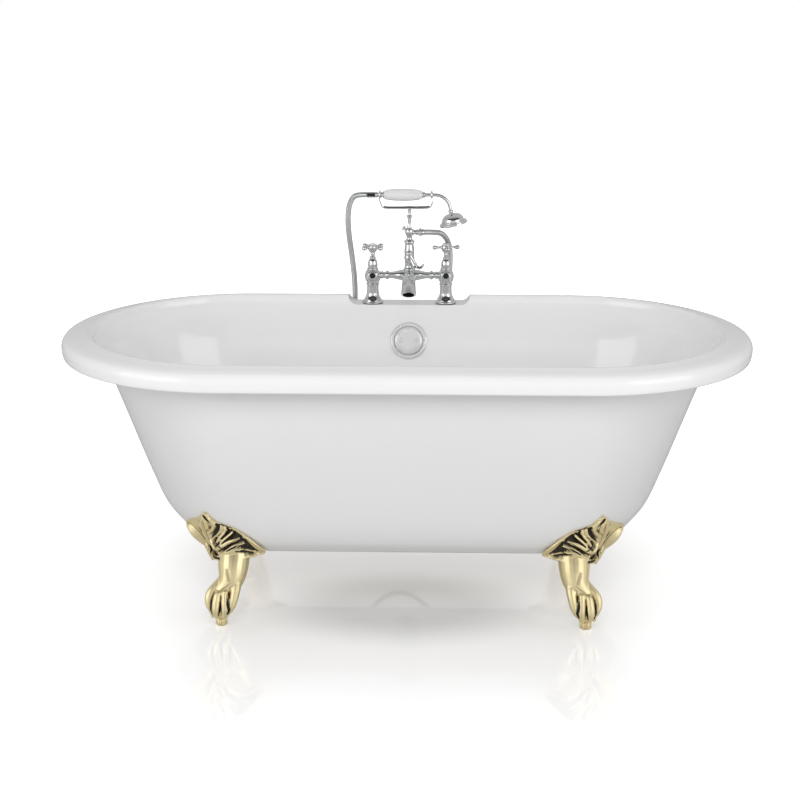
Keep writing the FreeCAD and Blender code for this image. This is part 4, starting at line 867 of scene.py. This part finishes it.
def one_skin(shapes, grain):
    """The lumps merged into one closed skin of small faces."""
    whole = joined(shapes)
    mesh = bpy.data.meshes.new("lumps")
    whole.to_mesh(mesh)
    whole.free()
    carrier = bpy.data.objects.new("lumps", mesh)
    bpy.context.scene.collection.objects.link(carrier)
    merge = carrier.modifiers.new("merge", "REMESH")
    merge.mode = "VOXEL"
    merge.voxel_size = grain
    soften = carrier.modifiers.new("soften", "SMOOTH")
    soften.factor = 0.5
    soften.iterations = 2
    bpy.context.view_layer.update()
    skin = bpy.data.meshes.new_from_object(carrier.evaluated_get(bpy.context.evaluated_depsgraph_get()))
    bpy.data.objects.remove(carrier)
    bpy.data.meshes.remove(mesh)
    shape = bmesh.new()
    shape.from_mesh(skin)
    bpy.data.meshes.remove(skin)
    return shape


def mark_hollow_shade(shape, rounds, reach):
    """Marks how far each place lies below its smoothed surroundings, as painted shade for the hollows."""
    shape.normal_update()
    layer = shape.verts.layers.float.new("groove_shade")
    start = [vert.co.copy() for vert in shape.verts]
    facing = [vert.normal.copy() for vert in shape.verts]
    for _ in range(rounds):
        bmesh.ops.smooth_vert(shape, verts=shape.verts, factor=1.0, use_axis_x=True,
                              use_axis_y=True, use_axis_z=True)
    for vert, co, normal in zip(shape.verts, start, facing):
        vert[layer] = min(max((vert.co - co).dot(normal) / reach, 0), 1)
        vert.co = co


def clear_of_skirt(shape, gap):
    """Presses whatever of the foot lies inside the skirt flat against its outside."""
    for vert in shape.verts:
        if vert.co.z < skirt_bottom - gap:
            continue
        end, side = inset_at(skirt_levels, vert.co.z, 1), inset_at(skirt_levels, vert.co.z, 2)
        radius = half_width - side + gap
        middle = Vector((min(vert.co.x, half_length - end - half_width + side), 0, vert.co.z))
        away = vert.co - middle
        if away.length >= radius:
            continue
        if vert.co.z - skirt_bottom + gap < radius - away.length:
            vert.co.z = skirt_bottom - gap
        else:
            vert.co = middle + away.normalized() * radius


def make_feet():
    pattern = one_skin(carved_foot(), carve_grain)
    mark_hollow_shade(pattern, 9, 2.0)
    carve(pattern)
    clear_of_skirt(pattern, skirt_clearance)
    for vert in pattern.verts:
        vert.co.z = max(vert.co.z, pad_top)
    for name, mirror_x, mirror_y in corners:
        copy = pattern.copy()
        bmesh.ops.scale(copy, vec=(mirror_x, mirror_y, 1), verts=copy.verts)
        bmesh.ops.recalc_face_normals(copy, faces=copy.faces)
        finished("claw_foot_carved_" + name, [copy], "root", "gold", "claw_foot_" + name, sharp=80)
    pattern.free()


def make_levelling_pads():
    """The round pads under the paws, with scooped sides for turning them by hand."""
    for name, mirror_x, mirror_y in corners:
        place = Vector((foot_place.x * mirror_x, foot_place.y * mirror_y, 0))
        pad = turned([(0, 0)] + run((10.5, 0), (12.4, 1.0), (13, 3), (13, 7)) +
                     run((13, 7), (12.2, 13), (9, 17), (6.5, 18)) + [(5, 18), (5, 57), (4, 58), (0, 58)],
                     sides=72)
        for vert in pad.verts:
            if vert.co.xy.length > 7:
                scoop = 1 - 0.07 * (1 - abs(math.cos(3 * math.atan2(vert.co.y, vert.co.x)))) ** 2 * 4
                vert.co.x *= scoop
                vert.co.y *= scoop
        bmesh.ops.translate(pad, vec=place, verts=pad.verts)
        finished("levelling_pad_" + name, [pad], "level_" + name, "gold", "levelling_screw_" + name)


# ------------------------------------------------------------------ waste and overflow
def overflow_frame():
    reach = 45
    levels = sorted(eased(basin_levels, 14.0))
    wall = half_width - inset_at(levels, overflow_height, 2)
    above = half_width - inset_at(levels, overflow_height + reach, 2)
    below = half_width - inset_at(levels, overflow_height - reach, 2)
    return Vector((0, wall, overflow_height)), Vector((0, -2 * reach, above - below)).normalized()


def make_overflow():
    place, normal = overflow_frame()
    ring = turned([(8, 1.8), (8, -3), (45, -3)] + run((45, -3), (45, 2), (43.6, 4.8), (40.5, 6)) +
                  run((40.5, 6), (37, 5.6), (35, 3.6)) + [(35, 1.8)], place, normal, 96, closed=True)
    finished("overflow_trim", [ring], "root", "chrome", "overflow_ring", finish=satin_chrome)
    dial = turned([(0, -16), (5, -16), (5, 3.2), (32, 3.2)] + run((32, 3.2), (33.6, 4), (34, 5.6)) +
                  run((34, 8.6), (33.4, 10.6), (31.4, 11.6)) +
                  run((31.4, 11.6), (30, 11.2), (28.8, 10.6)) + [(20, 10.9), (0, 11.0)],
                  place, normal, 96)
    across = X
    up = normal.cross(across).normalized()
    dots = []
    for side in (-1, 1):
        centre = place + across * side * dial_dot_place + normal * 10.4
        dots.append(turned([(0, 0.2), (2.8, 0.2)] +
                           run((2.8, 0.2), (3.4, 0.9), (3.9, 1.5), (4.6, 1.2), (5.0, 0.2)) +
                           [(5.0, -0.6), (0, -0.6)], centre, normal, 32))
    piece = finished("overflow_turning_dial", [dial] + dots, "dial", "chrome", "overflow_dial",
                     finish=satin_chrome)

    def in_dot(centre, facing):
        local = centre - place
        return (abs(abs(local.dot(across)) - dial_dot_place) < 2.9 and abs(local.dot(up)) < 2.9
                and local.dot(normal) > 10 and facing.dot(normal) > 0.7)
    # Painted shade in the dial's two turning holes.
    darken(piece, in_dot)


def make_waste():
    place = Vector((0, waste_y, 0))
    floor = basin_floor
    flange = turned([(21, floor + 3), (21, floor - 24), (24, floor - 24), (24, floor), (35, floor)] +
                    run((35, floor), (34.6, floor + 1.4), (33, floor + 2.6), (30, floor + 3)),
                    place, Z, 72, closed=True)
    finished("waste_rim", [flange], "root", "chrome", "waste_flange")
    low = floor + 3.3
    plug = turned([(0, floor - 28), (3, floor - 28), (3, low), (25, low)] +
                  run((25, low), (25.3, low + 0.7), (24.6, low + 1.6)) +
                  run((24.6, low + 1.6), (18, low + 3.2), (9, low + 4.3), (0, low + 4.7)), place, Z, 72)
    finished("waste_cover", [plug], "plug", "chrome", "waste_plug")


# ------------------------------------------------------------------ mixer
def at_mixer(shapes, x=0.0, heights=mixer_heights):
    """Moved to the mixer's place on the deck, the pieces' heights brought to the mixer's."""
    for shape in shapes:
        bmesh.ops.scale(shape, vec=(1, 1, heights), verts=shape.verts)
        bmesh.ops.translate(shape, vec=(x, tap_y, tap_z), verts=shape.verts)
    return shapes


def make_pillar(name, x):
    body = turned(
        [(0, -62), (12.2, -62), (13.2, -61), (13.2, 0), (25.5, 0)] +
        run((25.5, 0), (25.9, 1.6), (25.2, 3.4), (23.4, 4.4)) +
        run((23.4, 4.4), (22.6, 4.6), (22.2, 5.6)) +
        run((22.2, 5.6), (20.6, 9.6), (18.0, 14.4), (15.8, 20), (14.8, 27), (14.4, 36)) +
        run((14.4, 36), (14.4, 41), (14.6, 45)) +
        run((14.6, 45), (16.2, 46), (16.6, 47.4), (16.0, 48.8), (14.8, 49.4)) +
        run((14.8, 49.4), (14.4, 50.6), (15.2, 52.6)) +
        run((15.2, 52.6), (17.8, 57), (19.4, 64), (19.4, 71), (17.4, 78), (14.2, 82.6), (12.6, 84)) +
        [(0, 84)], sides=56)
    eye = turned(run((9.8, 12), (9.8, 16.6), (9.2, 18.4)) + run((9.2, 18.4), (8.4, 18.9), (7.6, 18.6)) +
                 run((7.6, 18.6), (7.2, 19.8), (5.6, 21.6), (3.2, 22.8), (0, 23.2)),
                 (0, 0, pillar_eye_height), -Y, 32)
    pillar = finished(name + "_pillar_body", at_mixer([body, eye], x), "root", "chrome", name + "_pillar")

    def in_eye(centre, facing):
        local = centre - Vector((x, tap_y, tap_z + pillar_eye_height * mixer_heights))
        return local.y < -18.8 and local.xz.length < 7.0
    # Painted shade on the front of the pillar's eye.
    darken(pillar, in_eye)
    bonnet = turned(
        [(4.6, 84), (12.9, 84)] + run((12.9, 84), (14.0, 85.2), (14.0, 87.4), (12.8, 88.6)) +
        run((12.8, 88.6), (11.6, 89.6), (11.4, 91)) +
        run((11.4, 91), (12.0, 95), (11.7, 101), (10.2, 107.4), (8.0, 111.6)) +
        run((8.0, 111.6), (7.2, 112.6), (7.4, 113.8), (8.2, 114.6), (7.8, 116), (6.6, 117),
            (5.4, 118.4)) +
        [(5.0, 120), (4.6, 120)], sides=40, closed=True)
    finished(name + "_bonnet_cover", at_mixer([bonnet], x), "root", "chrome", name + "_bonnet")


def make_cross_handle(name, x, spin):
    shapes = [turned(
        [(0, 121), (5.2, 121)] + run((5.2, 121), (5.6, 124), (5.4, 127.5), (7.2, 129.6)) +
        run((7.2, 129.6), (9.0, 131.6), (11.0, 134.6), (12.1, 138.6), (12.3, 142), (11.8, 145.6)) +
        run((11.8, 145.6), (11.0, 146.6), (10.9, 147.8), (9.8, 148.6)) +
        [(7.9, 148.4), (7.7, 147.2), (0, 147.2)], sides=40)]
    for quarter in range(4):
        angle = math.radians(spin + 90 * quarter)
        heading = Vector((math.cos(angle), math.sin(angle), 0))
        shapes.append(turned(
            [(0, 6)] + run((4.8, 6), (4.6, 11.2), (3.6, 13.2), (2.9, 16), (2.8, 19), (3.1, 21)) +
            run((3.1, 21), (4.6, 21.6), (5.0, 22.4), (4.4, 23.3), (3.4, 23.6)) +
            run((3.4, 23.6), (4.6, 24.8), (5.7, 27.6), (5.5, 30.4), (4.0, 32.4), (2.0, 33.2)) +
            run((2.0, 33.2), (1.6, 34), (0, 34.5)), (0, 0, 142), heading, 20))
    finished(name + "_cross_handle", at_mixer(shapes, x), name + "_valve", "chrome", name + "_handle")
    cap = turned([(0, 146.6), (7.6, 146.6)] +
                 run((7.6, 146.6), (7.7, 148.6), (6.8, 150.2), (4.4, 151.2), (0, 151.7)), sides=32)
    finished(name + "_cap_button", at_mixer([cap], x), name + "_valve", "ceramic", name + "_cap")


def make_bridge():
    arms = []
    for side in (-1, 1):
        arms.append(turned(
            [(0, 4)] + run((14.4, 4), (14.2, 14), (13.0, 22), (10.8, 31), (9.0, 40), (8.5, 49)) +
            run((8.5, 49), (9.0, 50.4), (10.8, 51.2), (11.6, 53), (11.4, 55), (10.6, 56.8), (9.0, 57.6)) +
            run((9.0, 57.6), (8.3, 60), (8.3, 64)) + run((8.3, 64), (9.6, 65.2), (9.8, 67), (9.2, 68.4)) +
            [(9.2, 73.5), (0, 73.5)], (0, 0, 70), X * side, 36))
    hub = turned(
        [(0, 48)] + run((2, 48), (5, 48.8), (7.2, 50.4), (8.2, 52.4)) +
        run((8.2, 52.4), (12.6, 53.4), (15.6, 56), (17.6, 61), (18.2, 68), (17.8, 75), (16.0, 80),
            (13.6, 83)) +
        run((13.6, 83), (13.2, 84), (14.0, 85)) + [(0, 85)], sides=48)
    spout = rod([(0, 4, 66, 15.5), (0, -20, 67, 16.5), (0, -44, 66, 16.2), (0, -64, 61, 16.4),
                 (0, -77, 52, 17.2), (0, -84, 44, 18.0), (*spout_mouth, 18.6)],
                sides=40, resolution=8, caps=False)
    rim_loops = [edge for edge in spout.edges if edge.is_boundary]
    bmesh.ops.holes_fill(spout, edges=[edge for edge in rim_loops if edge.verts[0].co.y > -10])
    bmesh.ops.recalc_face_normals(spout, faces=spout.faces)
    bmesh.ops.solidify(spout, geom=spout.faces[:], thickness=spout_wall)
    piece = finished("bridge_and_bath_spout", at_mixer(arms + [hub, spout]), "root", "chrome",
                     "bridge_and_spout")
    heading = Vector((0, -4, -5.5)).normalized()

    def in_mouth(centre, facing):
        local = centre - Vector((0, tap_y, tap_z))
        local.z /= mixer_heights
        away = local - spout_mouth
        radial = away - heading * away.dot(heading)
        return away.length < 30 and radial.length < 15.8 and facing.dot(radial) < 0
    # Painted shade inside the spout's mouth.
    darken(piece, in_mouth)


def make_diverter():
    tower = turned(
        [(0, 84), (13.4, 84)] + run((13.4, 84), (14.4, 85.6), (14.2, 87.6), (12.4, 89)) +
        run((12.4, 89), (11.2, 92), (10.8, 98), (11.2, 106), (12.0, 112)) +
        run((12.0, 112), (13.2, 113), (13.4, 114.6), (12.4, 116)) +
        run((12.4, 116), (11.8, 122), (12.4, 128), (12.0, 136), (10.8, 146)) +
        run((10.8, 146), (10.4, 150), (11.2, 153)) +
        run((11.2, 153), (12.6, 154.2), (13.0, 156.4), (12.2, 158.8), (10.6, 160)) +
        run((10.6, 160), (9.0, 161), (7.4, 163)) + [(0, 163)], sides=40)
    boss = turned([(0, 0), (8.4, 0)] + run((8.4, 11), (8.2, 13.4), (6.6, 14.8)) + [(0, 14.8)],
                  (0, 0, 128), -Y, 32)
    finished("diverter_tower_body", at_mixer([tower, boss]), "root", "chrome", "diverter_tower")
    hub = turned([(0, 15.3)] + run((6.6, 15.3), (7.6, 16.2), (7.8, 18), (7.4, 20)) +
                 run((7.4, 20), (6.6, 20.8), (5.8, 20.6)) +
                 run((5.8, 20.6), (4.6, 22.2), (2.4, 23), (0, 23.2)),
                 (0, 0, 128), -Y, 32)
    finger = rod([(0, -18, 128, 4.2), (6, -18, 118, 4.0), (12, -18.5, 108, 3.8), (17, -19, 99, 3.8),
                  (21, -19.5, 94, 4.0), (26, -20, 92, 4.2), (31, -20, 95, 3.6), (34, -20, 100, 2.8)], 16)
    back = rod([(2, -18, 128, 3.4), (3, -18, 114, 3.4), (9, -18, 100, 3.2), (16, -18.5, 94, 3.2),
                (24, -19.5, 92.6, 3.2)], 14)
    tip = ball(2.9, (34.2, -20, 100.6))
    finished("diverter_lever_arm", at_mixer([hub, finger, back, tip]), "diverter", "chrome",
             "diverter_lever", "diverter_spindle")
    tee = turned(
        [(0, 163), (7, 163)] +
        run((7, 163), (6.8, 168), (8.6, 173.4), (10.2, 178), (10.4, 183), (9.2, 187.6)) +
        run((9.2, 187.6), (8.6, 188.6), (7.4, 189.8), (5.8, 191.6), (5.2, 193.6)) + [(0, 194)], sides=36)
    arm = turned([(0, 0), (7.2, 0)] + run((7.2, 9), (6.4, 11), (6.2, 14), (6.4, 18)) +
                 run((6.4, 18), (7.6, 18.6), (7.8, 20), (7.4, 21.4), (6.4, 22)) + [(6.4, 24), (0, 24)],
                 (0, 0, tee_height), X, 32)
    heading = Vector((-0.8, 0, 0.6))
    stop = turned([(0, 0), (4.6, 0)] + run((4.6, 8), (3.4, 12), (3.4, 14.6)) +
                  run((3.4, 14.6), (5.0, 15.4), (5.6, 17.0), (5.2, 18.8), (3.6, 20), (0, 20.6)),
                  (0, 0, tee_height), heading, 24)
    finished("shower_tee_body", at_mixer([tee, arm, stop]), "root", "chrome", "shower_tee")
    nut = turned([(4.6, 0), (10.0, 0)] + run((10.0, 0), (10.4, 0.8), (10.4, 3.6), (9.6, 4.4)) +
                 run((9.6, 4.4), (8.9, 5.2), (8.7, 8), (8.0, 10.6), (7.5, 12)) + [(4.6, 12)],
                 (24, 0, tee_height), X, 36, closed=True)
    finished("hose_nut_collar", at_mixer([nut]), "root", "chrome", "hose_nut")


def make_cradle():
    stem = turned(
        [(0, 193.4)] + run((5.2, 193.4), (4.8, 197), (4.3, 202), (4.2, 210), (4.3, 215.6)) +
        run((4.3, 215.6), (5.4, 216.6), (6.4, 218.4), (5.6, 220), (4.6, 220.4)) +
        run((4.6, 220.4), (6.2, 221.2), (6.6, 222.6), (5.4, 224.2), (4.3, 225)) +
        run((4.3, 225), (4.0, 229), (4.0, 236), (4.6, 240.4), (5.0, 243)) + [(0, 243)], sides=28)
    finished("cradle_stem_rod", at_mixer([stem]), "root", "chrome", "cradle_stem")
    rise = fork_rise
    rods = [rod([(fork_left, 0, 266.5, 3.2), (fork_left + 2, 0, 261, 3.4), (fork_left + 6, 0, 250, 3.6),
                 (fork_left + 10, 0, 243, 3.6), (fork_left + 24, 0, 242.4, 3.6), (-12, 0, 242.6, 3.7),
                 (0, 0, 243.2, 4.2), (12, 0, 242.8, 3.7), (fork_right - 20, 0, 243.2, 4.2),
                 (fork_right - 5, 0, 244, 3.6), (fork_right - 0.4, 0, 253, 3.6),
                 (fork_right, 0, 262, 3.4), (fork_right, 0, 268, 3.2)], 14)]
    for x, cup in ((fork_left, 7.6), (fork_right, 6.6)):
        rods.append(rod([(x, -cup, rise + 5, 1.9), (x, -cup, rise + 2, 2.0), (x, -cup, rise - 2.0, 2.1),
                         (x, -cup * 0.78, rise - cup * 0.86, 2.2), (x, 0, rise - cup - 1.0, 2.4),
                         (x, cup * 0.78, rise - cup * 0.86, 2.2), (x, cup, rise - 2.0, 2.1),
                         (x, cup, rise + 2, 2.0), (x, cup, rise + 5, 1.9)], 14))
        for side in (-1, 1):
            rods.append(ball(2.9, (x, side * cup, rise + 5.6)))
            rods.append(ball(1.6, (x, side * cup, rise + 9.0), (1, 1, 1.4)))
    finished("handset_cradle_rods", at_mixer(rods), "root", "chrome", "handset_cradle")


# ------------------------------------------------------------------ handset
def along(profile, start, sides=36, closed=False):
    return turned(profile, (start, 0, handset_z), X, sides, closed)


def make_handset():
    grip = along([(0, 0), (5.8, 0)] + run((5.8, 0), (6.9, 0.6), (7.2, 2), (6.9, 3.4), (6.2, 4.0)) +
                 [(6.2, 5.0), (7.4, 5.4), (7.4, 24.6), (6.6, 25.2)] +
                 run((6.6, 25.2), (6.4, 26.2), (7.2, 27.2), (7.4, 28.6), (6.8, 30), (5.4, 30.8)) +
                 run((5.4, 30.8), (4.8, 31.6), (4.6, 33)) + [(0, 33)], -108, knurl_teeth)
    for vert in grip.verts:
        if -102.4 < vert.co.x < -83.6:
            away = vert.co - Vector((vert.co.x, 0, handset_z))
            if round(math.atan2(away.z, away.y) / (math.tau / knurl_teeth)) % 2:
                vert.co -= away.normalized() * knurl_depth
    piece = finished("handset_grip_knurled", at_mixer([grip], 0, 1), "handset", "chrome", "handset_grip")
    # Painted shade on the knurled band's sides; its top and underside stay bright chrome.
    darken(piece, lambda centre, facing: -103.2 < centre.x < -83.2 and -0.45 < facing.z < 0.62)
    tail = along([(0, 0), (4.6, 0), (4.6, 4)] +
                 run((4.6, 4), (5.4, 5), (7.0, 5.6), (7.2, 6.8), (6.2, 7.8)) +
                 run((6.2, 7.8), (5.8, 8.8), (6.6, 10.2), (8.2, 11.2), (8.6, 12.4)) +
                 [(8.4, 13), (0, 13)], -75)
    finished("handset_tail_ring", at_mixer([tail], 0, 1), "handset", "chrome", "handset_tail")
    barrel = along([(0, 0)] + run((8.6, 0.4), (10.8, 3), (12.8, 10), (14.2, 22), (14.9, 37), (15.0, 50),
                                  (14.5, 64), (13.2, 78), (11.2, 88), (8.8, 92.6), steps=6) +
                   [(0, 93)], -62, 56)
    finished("handset_barrel_glazed", at_mixer([barrel], 0, 1), "handset", "ceramic", "handset_barrel")
    ferrule = along([(0, 0)] + run((8.4, 0), (8.6, 1), (8.0, 2.0)) +
                    run((8.0, 2.0), (6.4, 3.2), (6.2, 4.2)) +
                    run((6.2, 4.2), (7.0, 5), (7.0, 6.2), (6.0, 7.2), (4.4, 9)) + [(0, 9)], 31)
    finished("handset_ferrule_ring", at_mixer([ferrule], 0, 1), "handset", "chrome", "handset_ferrule")
    heading = Vector((math.cos(neck_turn), 0, -math.sin(neck_turn)))
    end = Vector((neck_start + neck_bend * math.sin(neck_turn), 0,
                  handset_z - neck_bend * (1 - math.cos(neck_turn)))) + heading * 9
    stations = [(39, 0, handset_z, 4.6), (44, 0, handset_z, 4.3), (60, 0, handset_z, 4.2)]
    wide_bend = neck_bend + 1.4
    for slant in map(math.radians, (12, 32, 52, 70)):
        stations.append((neck_start + wide_bend * math.sin(slant), 0,
                         handset_z - wide_bend * (1 - math.cos(slant)) + 0.4, 4.2))
    stations.append((end.x, end.y, end.z, 4.3))
    neck = rod(stations, 20)
    saddle = ball(5.6, (54, 0, handset_z), (0.8, 1, 1))
    finished("handset_neck_tube", at_mixer([neck, saddle], 0, 1), "handset", "chrome", "handset_neck")
    rose = turned(
        [(2.6, 0)] + run((4.6, -1), (5.8, 0), (6.4, 1.6), (6.2, 4.4), (5.2, 5.8)) +
        run((5.2, 5.8), (4.8, 6.6), (5.8, 8.2)) +
        run((5.8, 8.2), (12.6, 9.4), (19.4, 12.2), (24.2, 16.8), (26.6, 22.4), (27.2, 27.0)) +
        run((27.2, 27.0), (28.2, 27.8), (28.2, 28.8)) +
        run((28.2, 28.8), (31.8, 29.4), (33.8, 30.8), (34, 33.6), (33.9, 35.4), (33.2, 36)) +
        run((33.2, 36), (32.4, 35.2), (32.3, 32)) + [(31, 31), (20, 24.4), (4, 15), (2.6, 12)],
        end, heading, 72, closed=True)
    finished("rose_bell_skin", at_mixer([rose], 0, 1), "handset", "chrome", "rose_bell")


# ------------------------------------------------------------------ shower hose
hose_route = [
    (36, 352, 772.5), (58, 352, 773), (82, 365, 768), (99, 396, 735), (101, 410, 688),
    (97, 414, 634), (96, 412, 572), (96, 413, 496), (99, 411, 416), (88, 412, 336),
    (62, 410, 262), (12, 412, 208), (-50, 410, 202), (-102, 411, 246), (-130, 410, 318),
    (-138, 412, 400), (-139, 411, 486), (-137, 412, 568), (-137, 408, 640), (-143, 396, 703),
    (-149, 378, 756), (-151, 362, 800), (-148, 354, 834), (-140, 353, 854), (-129, 352, 864),
    (-108, 352, 864)]


def make_hose():
    """The hose as a tube along one smooth line, with its distance along it on every place."""
    line = smooth_line([(x, y, z, 1) for x, y, z in hose_route], resolution=16)
    carrier = bpy.data.objects.new("line", line)
    middle = bpy.data.meshes.new_from_object(carrier)
    path = [vert.co.copy() for vert in middle.vertices]
    bpy.data.objects.remove(carrier)
    bpy.data.curves.remove(line)
    bpy.data.meshes.remove(middle)
    shape = bmesh.new()
    layer = shape.verts.layers.float.new("run")
    travelled = 0.0
    last_ring = None
    across = Y.copy()
    for index, point in enumerate(path):
        ahead = path[min(index + 1, len(path) - 1)] - path[max(index - 1, 0)]
        ahead.normalize()
        across = (across - ahead * across.dot(ahead)).normalized()
        if index:
            travelled += (point - path[index - 1]).length
        frame_matrix = Matrix((across, ahead.cross(across), ahead)).transposed().to_4x4()
        frame_matrix.translation = point
        made = bmesh.ops.create_circle(shape, segments=hose_sides, radius=hose_radius, matrix=frame_matrix,
                                       cap_ends=index in (0, len(path) - 1))["verts"]
        for vert in made:
            vert[layer] = travelled * MM
        ring = [edge for edge in {e for vert in made for e in vert.link_edges}
                if edge.verts[0] in made and edge.verts[1] in made]
        if last_ring:
            bmesh.ops.bridge_loops(shape, edges=last_ring + ring)
        last_ring = ring
    bmesh.ops.recalc_face_normals(shape, faces=shape.faces)
    hose = finished("shower_hose_wound", [shape], None, "hose", "shower_hose", sharp=80)
    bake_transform(hose, "root", "handset", start=(-0.140, 0.36, 0.570), end=(-0.2608, 0.36, 0.6629))


# ------------------------------------------------------------------ the room and the whole bath
def make_floor():
    """A polished white floor, lifted to the background's white by a camera-ray glow away from the bath's
    shadow; the glow is held low in an oval under the bath, so that shadow is partly real and partly painted.
    """
    mesh = bpy.data.meshes.new("floor")
    shape = bmesh.new()
    bmesh.ops.create_grid(shape, x_segments=1, y_segments=1, size=14)
    bmesh.ops.translate(shape, vec=(0, 0, -0.0002), verts=shape.verts)
    shape.to_mesh(mesh)
    shape.free()
    material = make_finish("polished_floor", (0.80, 0.80, 0.80), (0.79, 0.79, 0.79), 0.0, 0.02, 0.05, 1.5)
    nodes, links = material.node_tree.nodes, material.node_tree.links
    shader = nodes["Principled BSDF"]
    shader.inputs["IOR"].default_value = 2.0
    coords = nodes.new("ShaderNodeTexCoord")
    # Painted shadow: the glow stays low inside this oval under the bath and rises beside the feet, shaping
    # the shadow over the real one.
    shadow_oval = nodes.new("ShaderNodeVectorMath")
    shadow_oval.operation = "MULTIPLY_ADD"
    shadow_oval.inputs[1].default_value = (2.15, 3.4, 0)
    shadow_oval.inputs[2].default_value = (0, 0.5, 0)
    length = nodes.new("ShaderNodeVectorMath")
    length.operation = "LENGTH"
    near = add_range(nodes, 0.28, 0.82, 0.16, 0.36)
    far = add_range(nodes, 1.5, 7.0, 0.0, 0.6, smooth=False)
    split = nodes.new("ShaderNodeSeparateXYZ")
    wide = add_math(nodes, "ABSOLUTE")
    beside = add_range(nodes, 0.38, 0.62, 0.0, 0.12)
    total = add_math(nodes, "ADD")
    whole = add_math(nodes, "ADD")
    rays = nodes.new("ShaderNodeLightPath")
    seen = add_math(nodes, "MULTIPLY")
    glow = nodes.new("ShaderNodeEmission")
    glow.inputs["Color"].default_value = (1, 1, 1, 1)
    both = nodes.new("ShaderNodeAddShader")
    links.new(coords.outputs["Object"], shadow_oval.inputs[0])
    links.new(coords.outputs["Object"], split.inputs["Vector"])
    links.new(shadow_oval.outputs["Vector"], length.inputs[0])
    links.new(length.outputs["Value"], near.inputs["Value"])
    links.new(length.outputs["Value"], far.inputs["Value"])
    links.new(split.outputs["X"], wide.inputs[0])
    links.new(wide.outputs["Value"], beside.inputs["Value"])
    links.new(near.outputs["Result"], total.inputs[0])
    links.new(far.outputs["Result"], total.inputs[1])
    links.new(total.outputs["Value"], whole.inputs[0])
    links.new(beside.outputs["Result"], whole.inputs[1])
    links.new(whole.outputs["Value"], seen.inputs[0])
    links.new(rays.outputs["Is Camera Ray"], seen.inputs[1])
    links.new(seen.outputs["Value"], glow.inputs["Strength"])
    links.new(shader.outputs["BSDF"], both.inputs[0])
    links.new(glow.outputs["Emission"], both.inputs[1])
    links.new(both.outputs["Shader"], nodes["Material Output"].inputs["Surface"])
    mesh.materials.append(material)
    floor = bpy.data.objects.new("floor", mesh)
    bpy.context.scene.collection.objects.link(floor)


def dress_frame():
    """The CAD nodes that stay get the finish of their material slot."""
    slots = {part["node"]: part["material_slot"] for part in frame["record"]["subparts"]}
    for node, piece in frame["nodes"].items():
        finish = finishes[slots[node]]
        if piece.material_slots:
            for holder in piece.material_slots:
                holder.material = finish
        else:
            piece.data.materials.append(finish)


add_camera()
add_world()
add_softbox("front", (0, -3.4, 2.7), (0, 0, 0.5), (2.4, 1.7), 54, mirrored=False)
add_softbox("left", (-2.8, -2.2, 1.4), (0, 0, 0.4), (2.6, 2.4), 26)
add_softbox("right", (2.8, -2.2, 1.4), (0, 0, 0.4), (2.6, 2.4), 26)
make_floor()
make_hose()
dress_frame()
make_bath_shell()
make_skirt()
make_feet()
make_levelling_pads()
make_overflow()
make_waste()
for name, x, spin in (("hot", -tap_x, 45), ("cold", tap_x, 8)):
    make_pillar(name, x)
    make_cross_handle(name, x, spin)
make_bridge()
make_diverter()
make_cradle()
make_handset()

bpy.context.scene.view_settings.view_transform = "Standard"
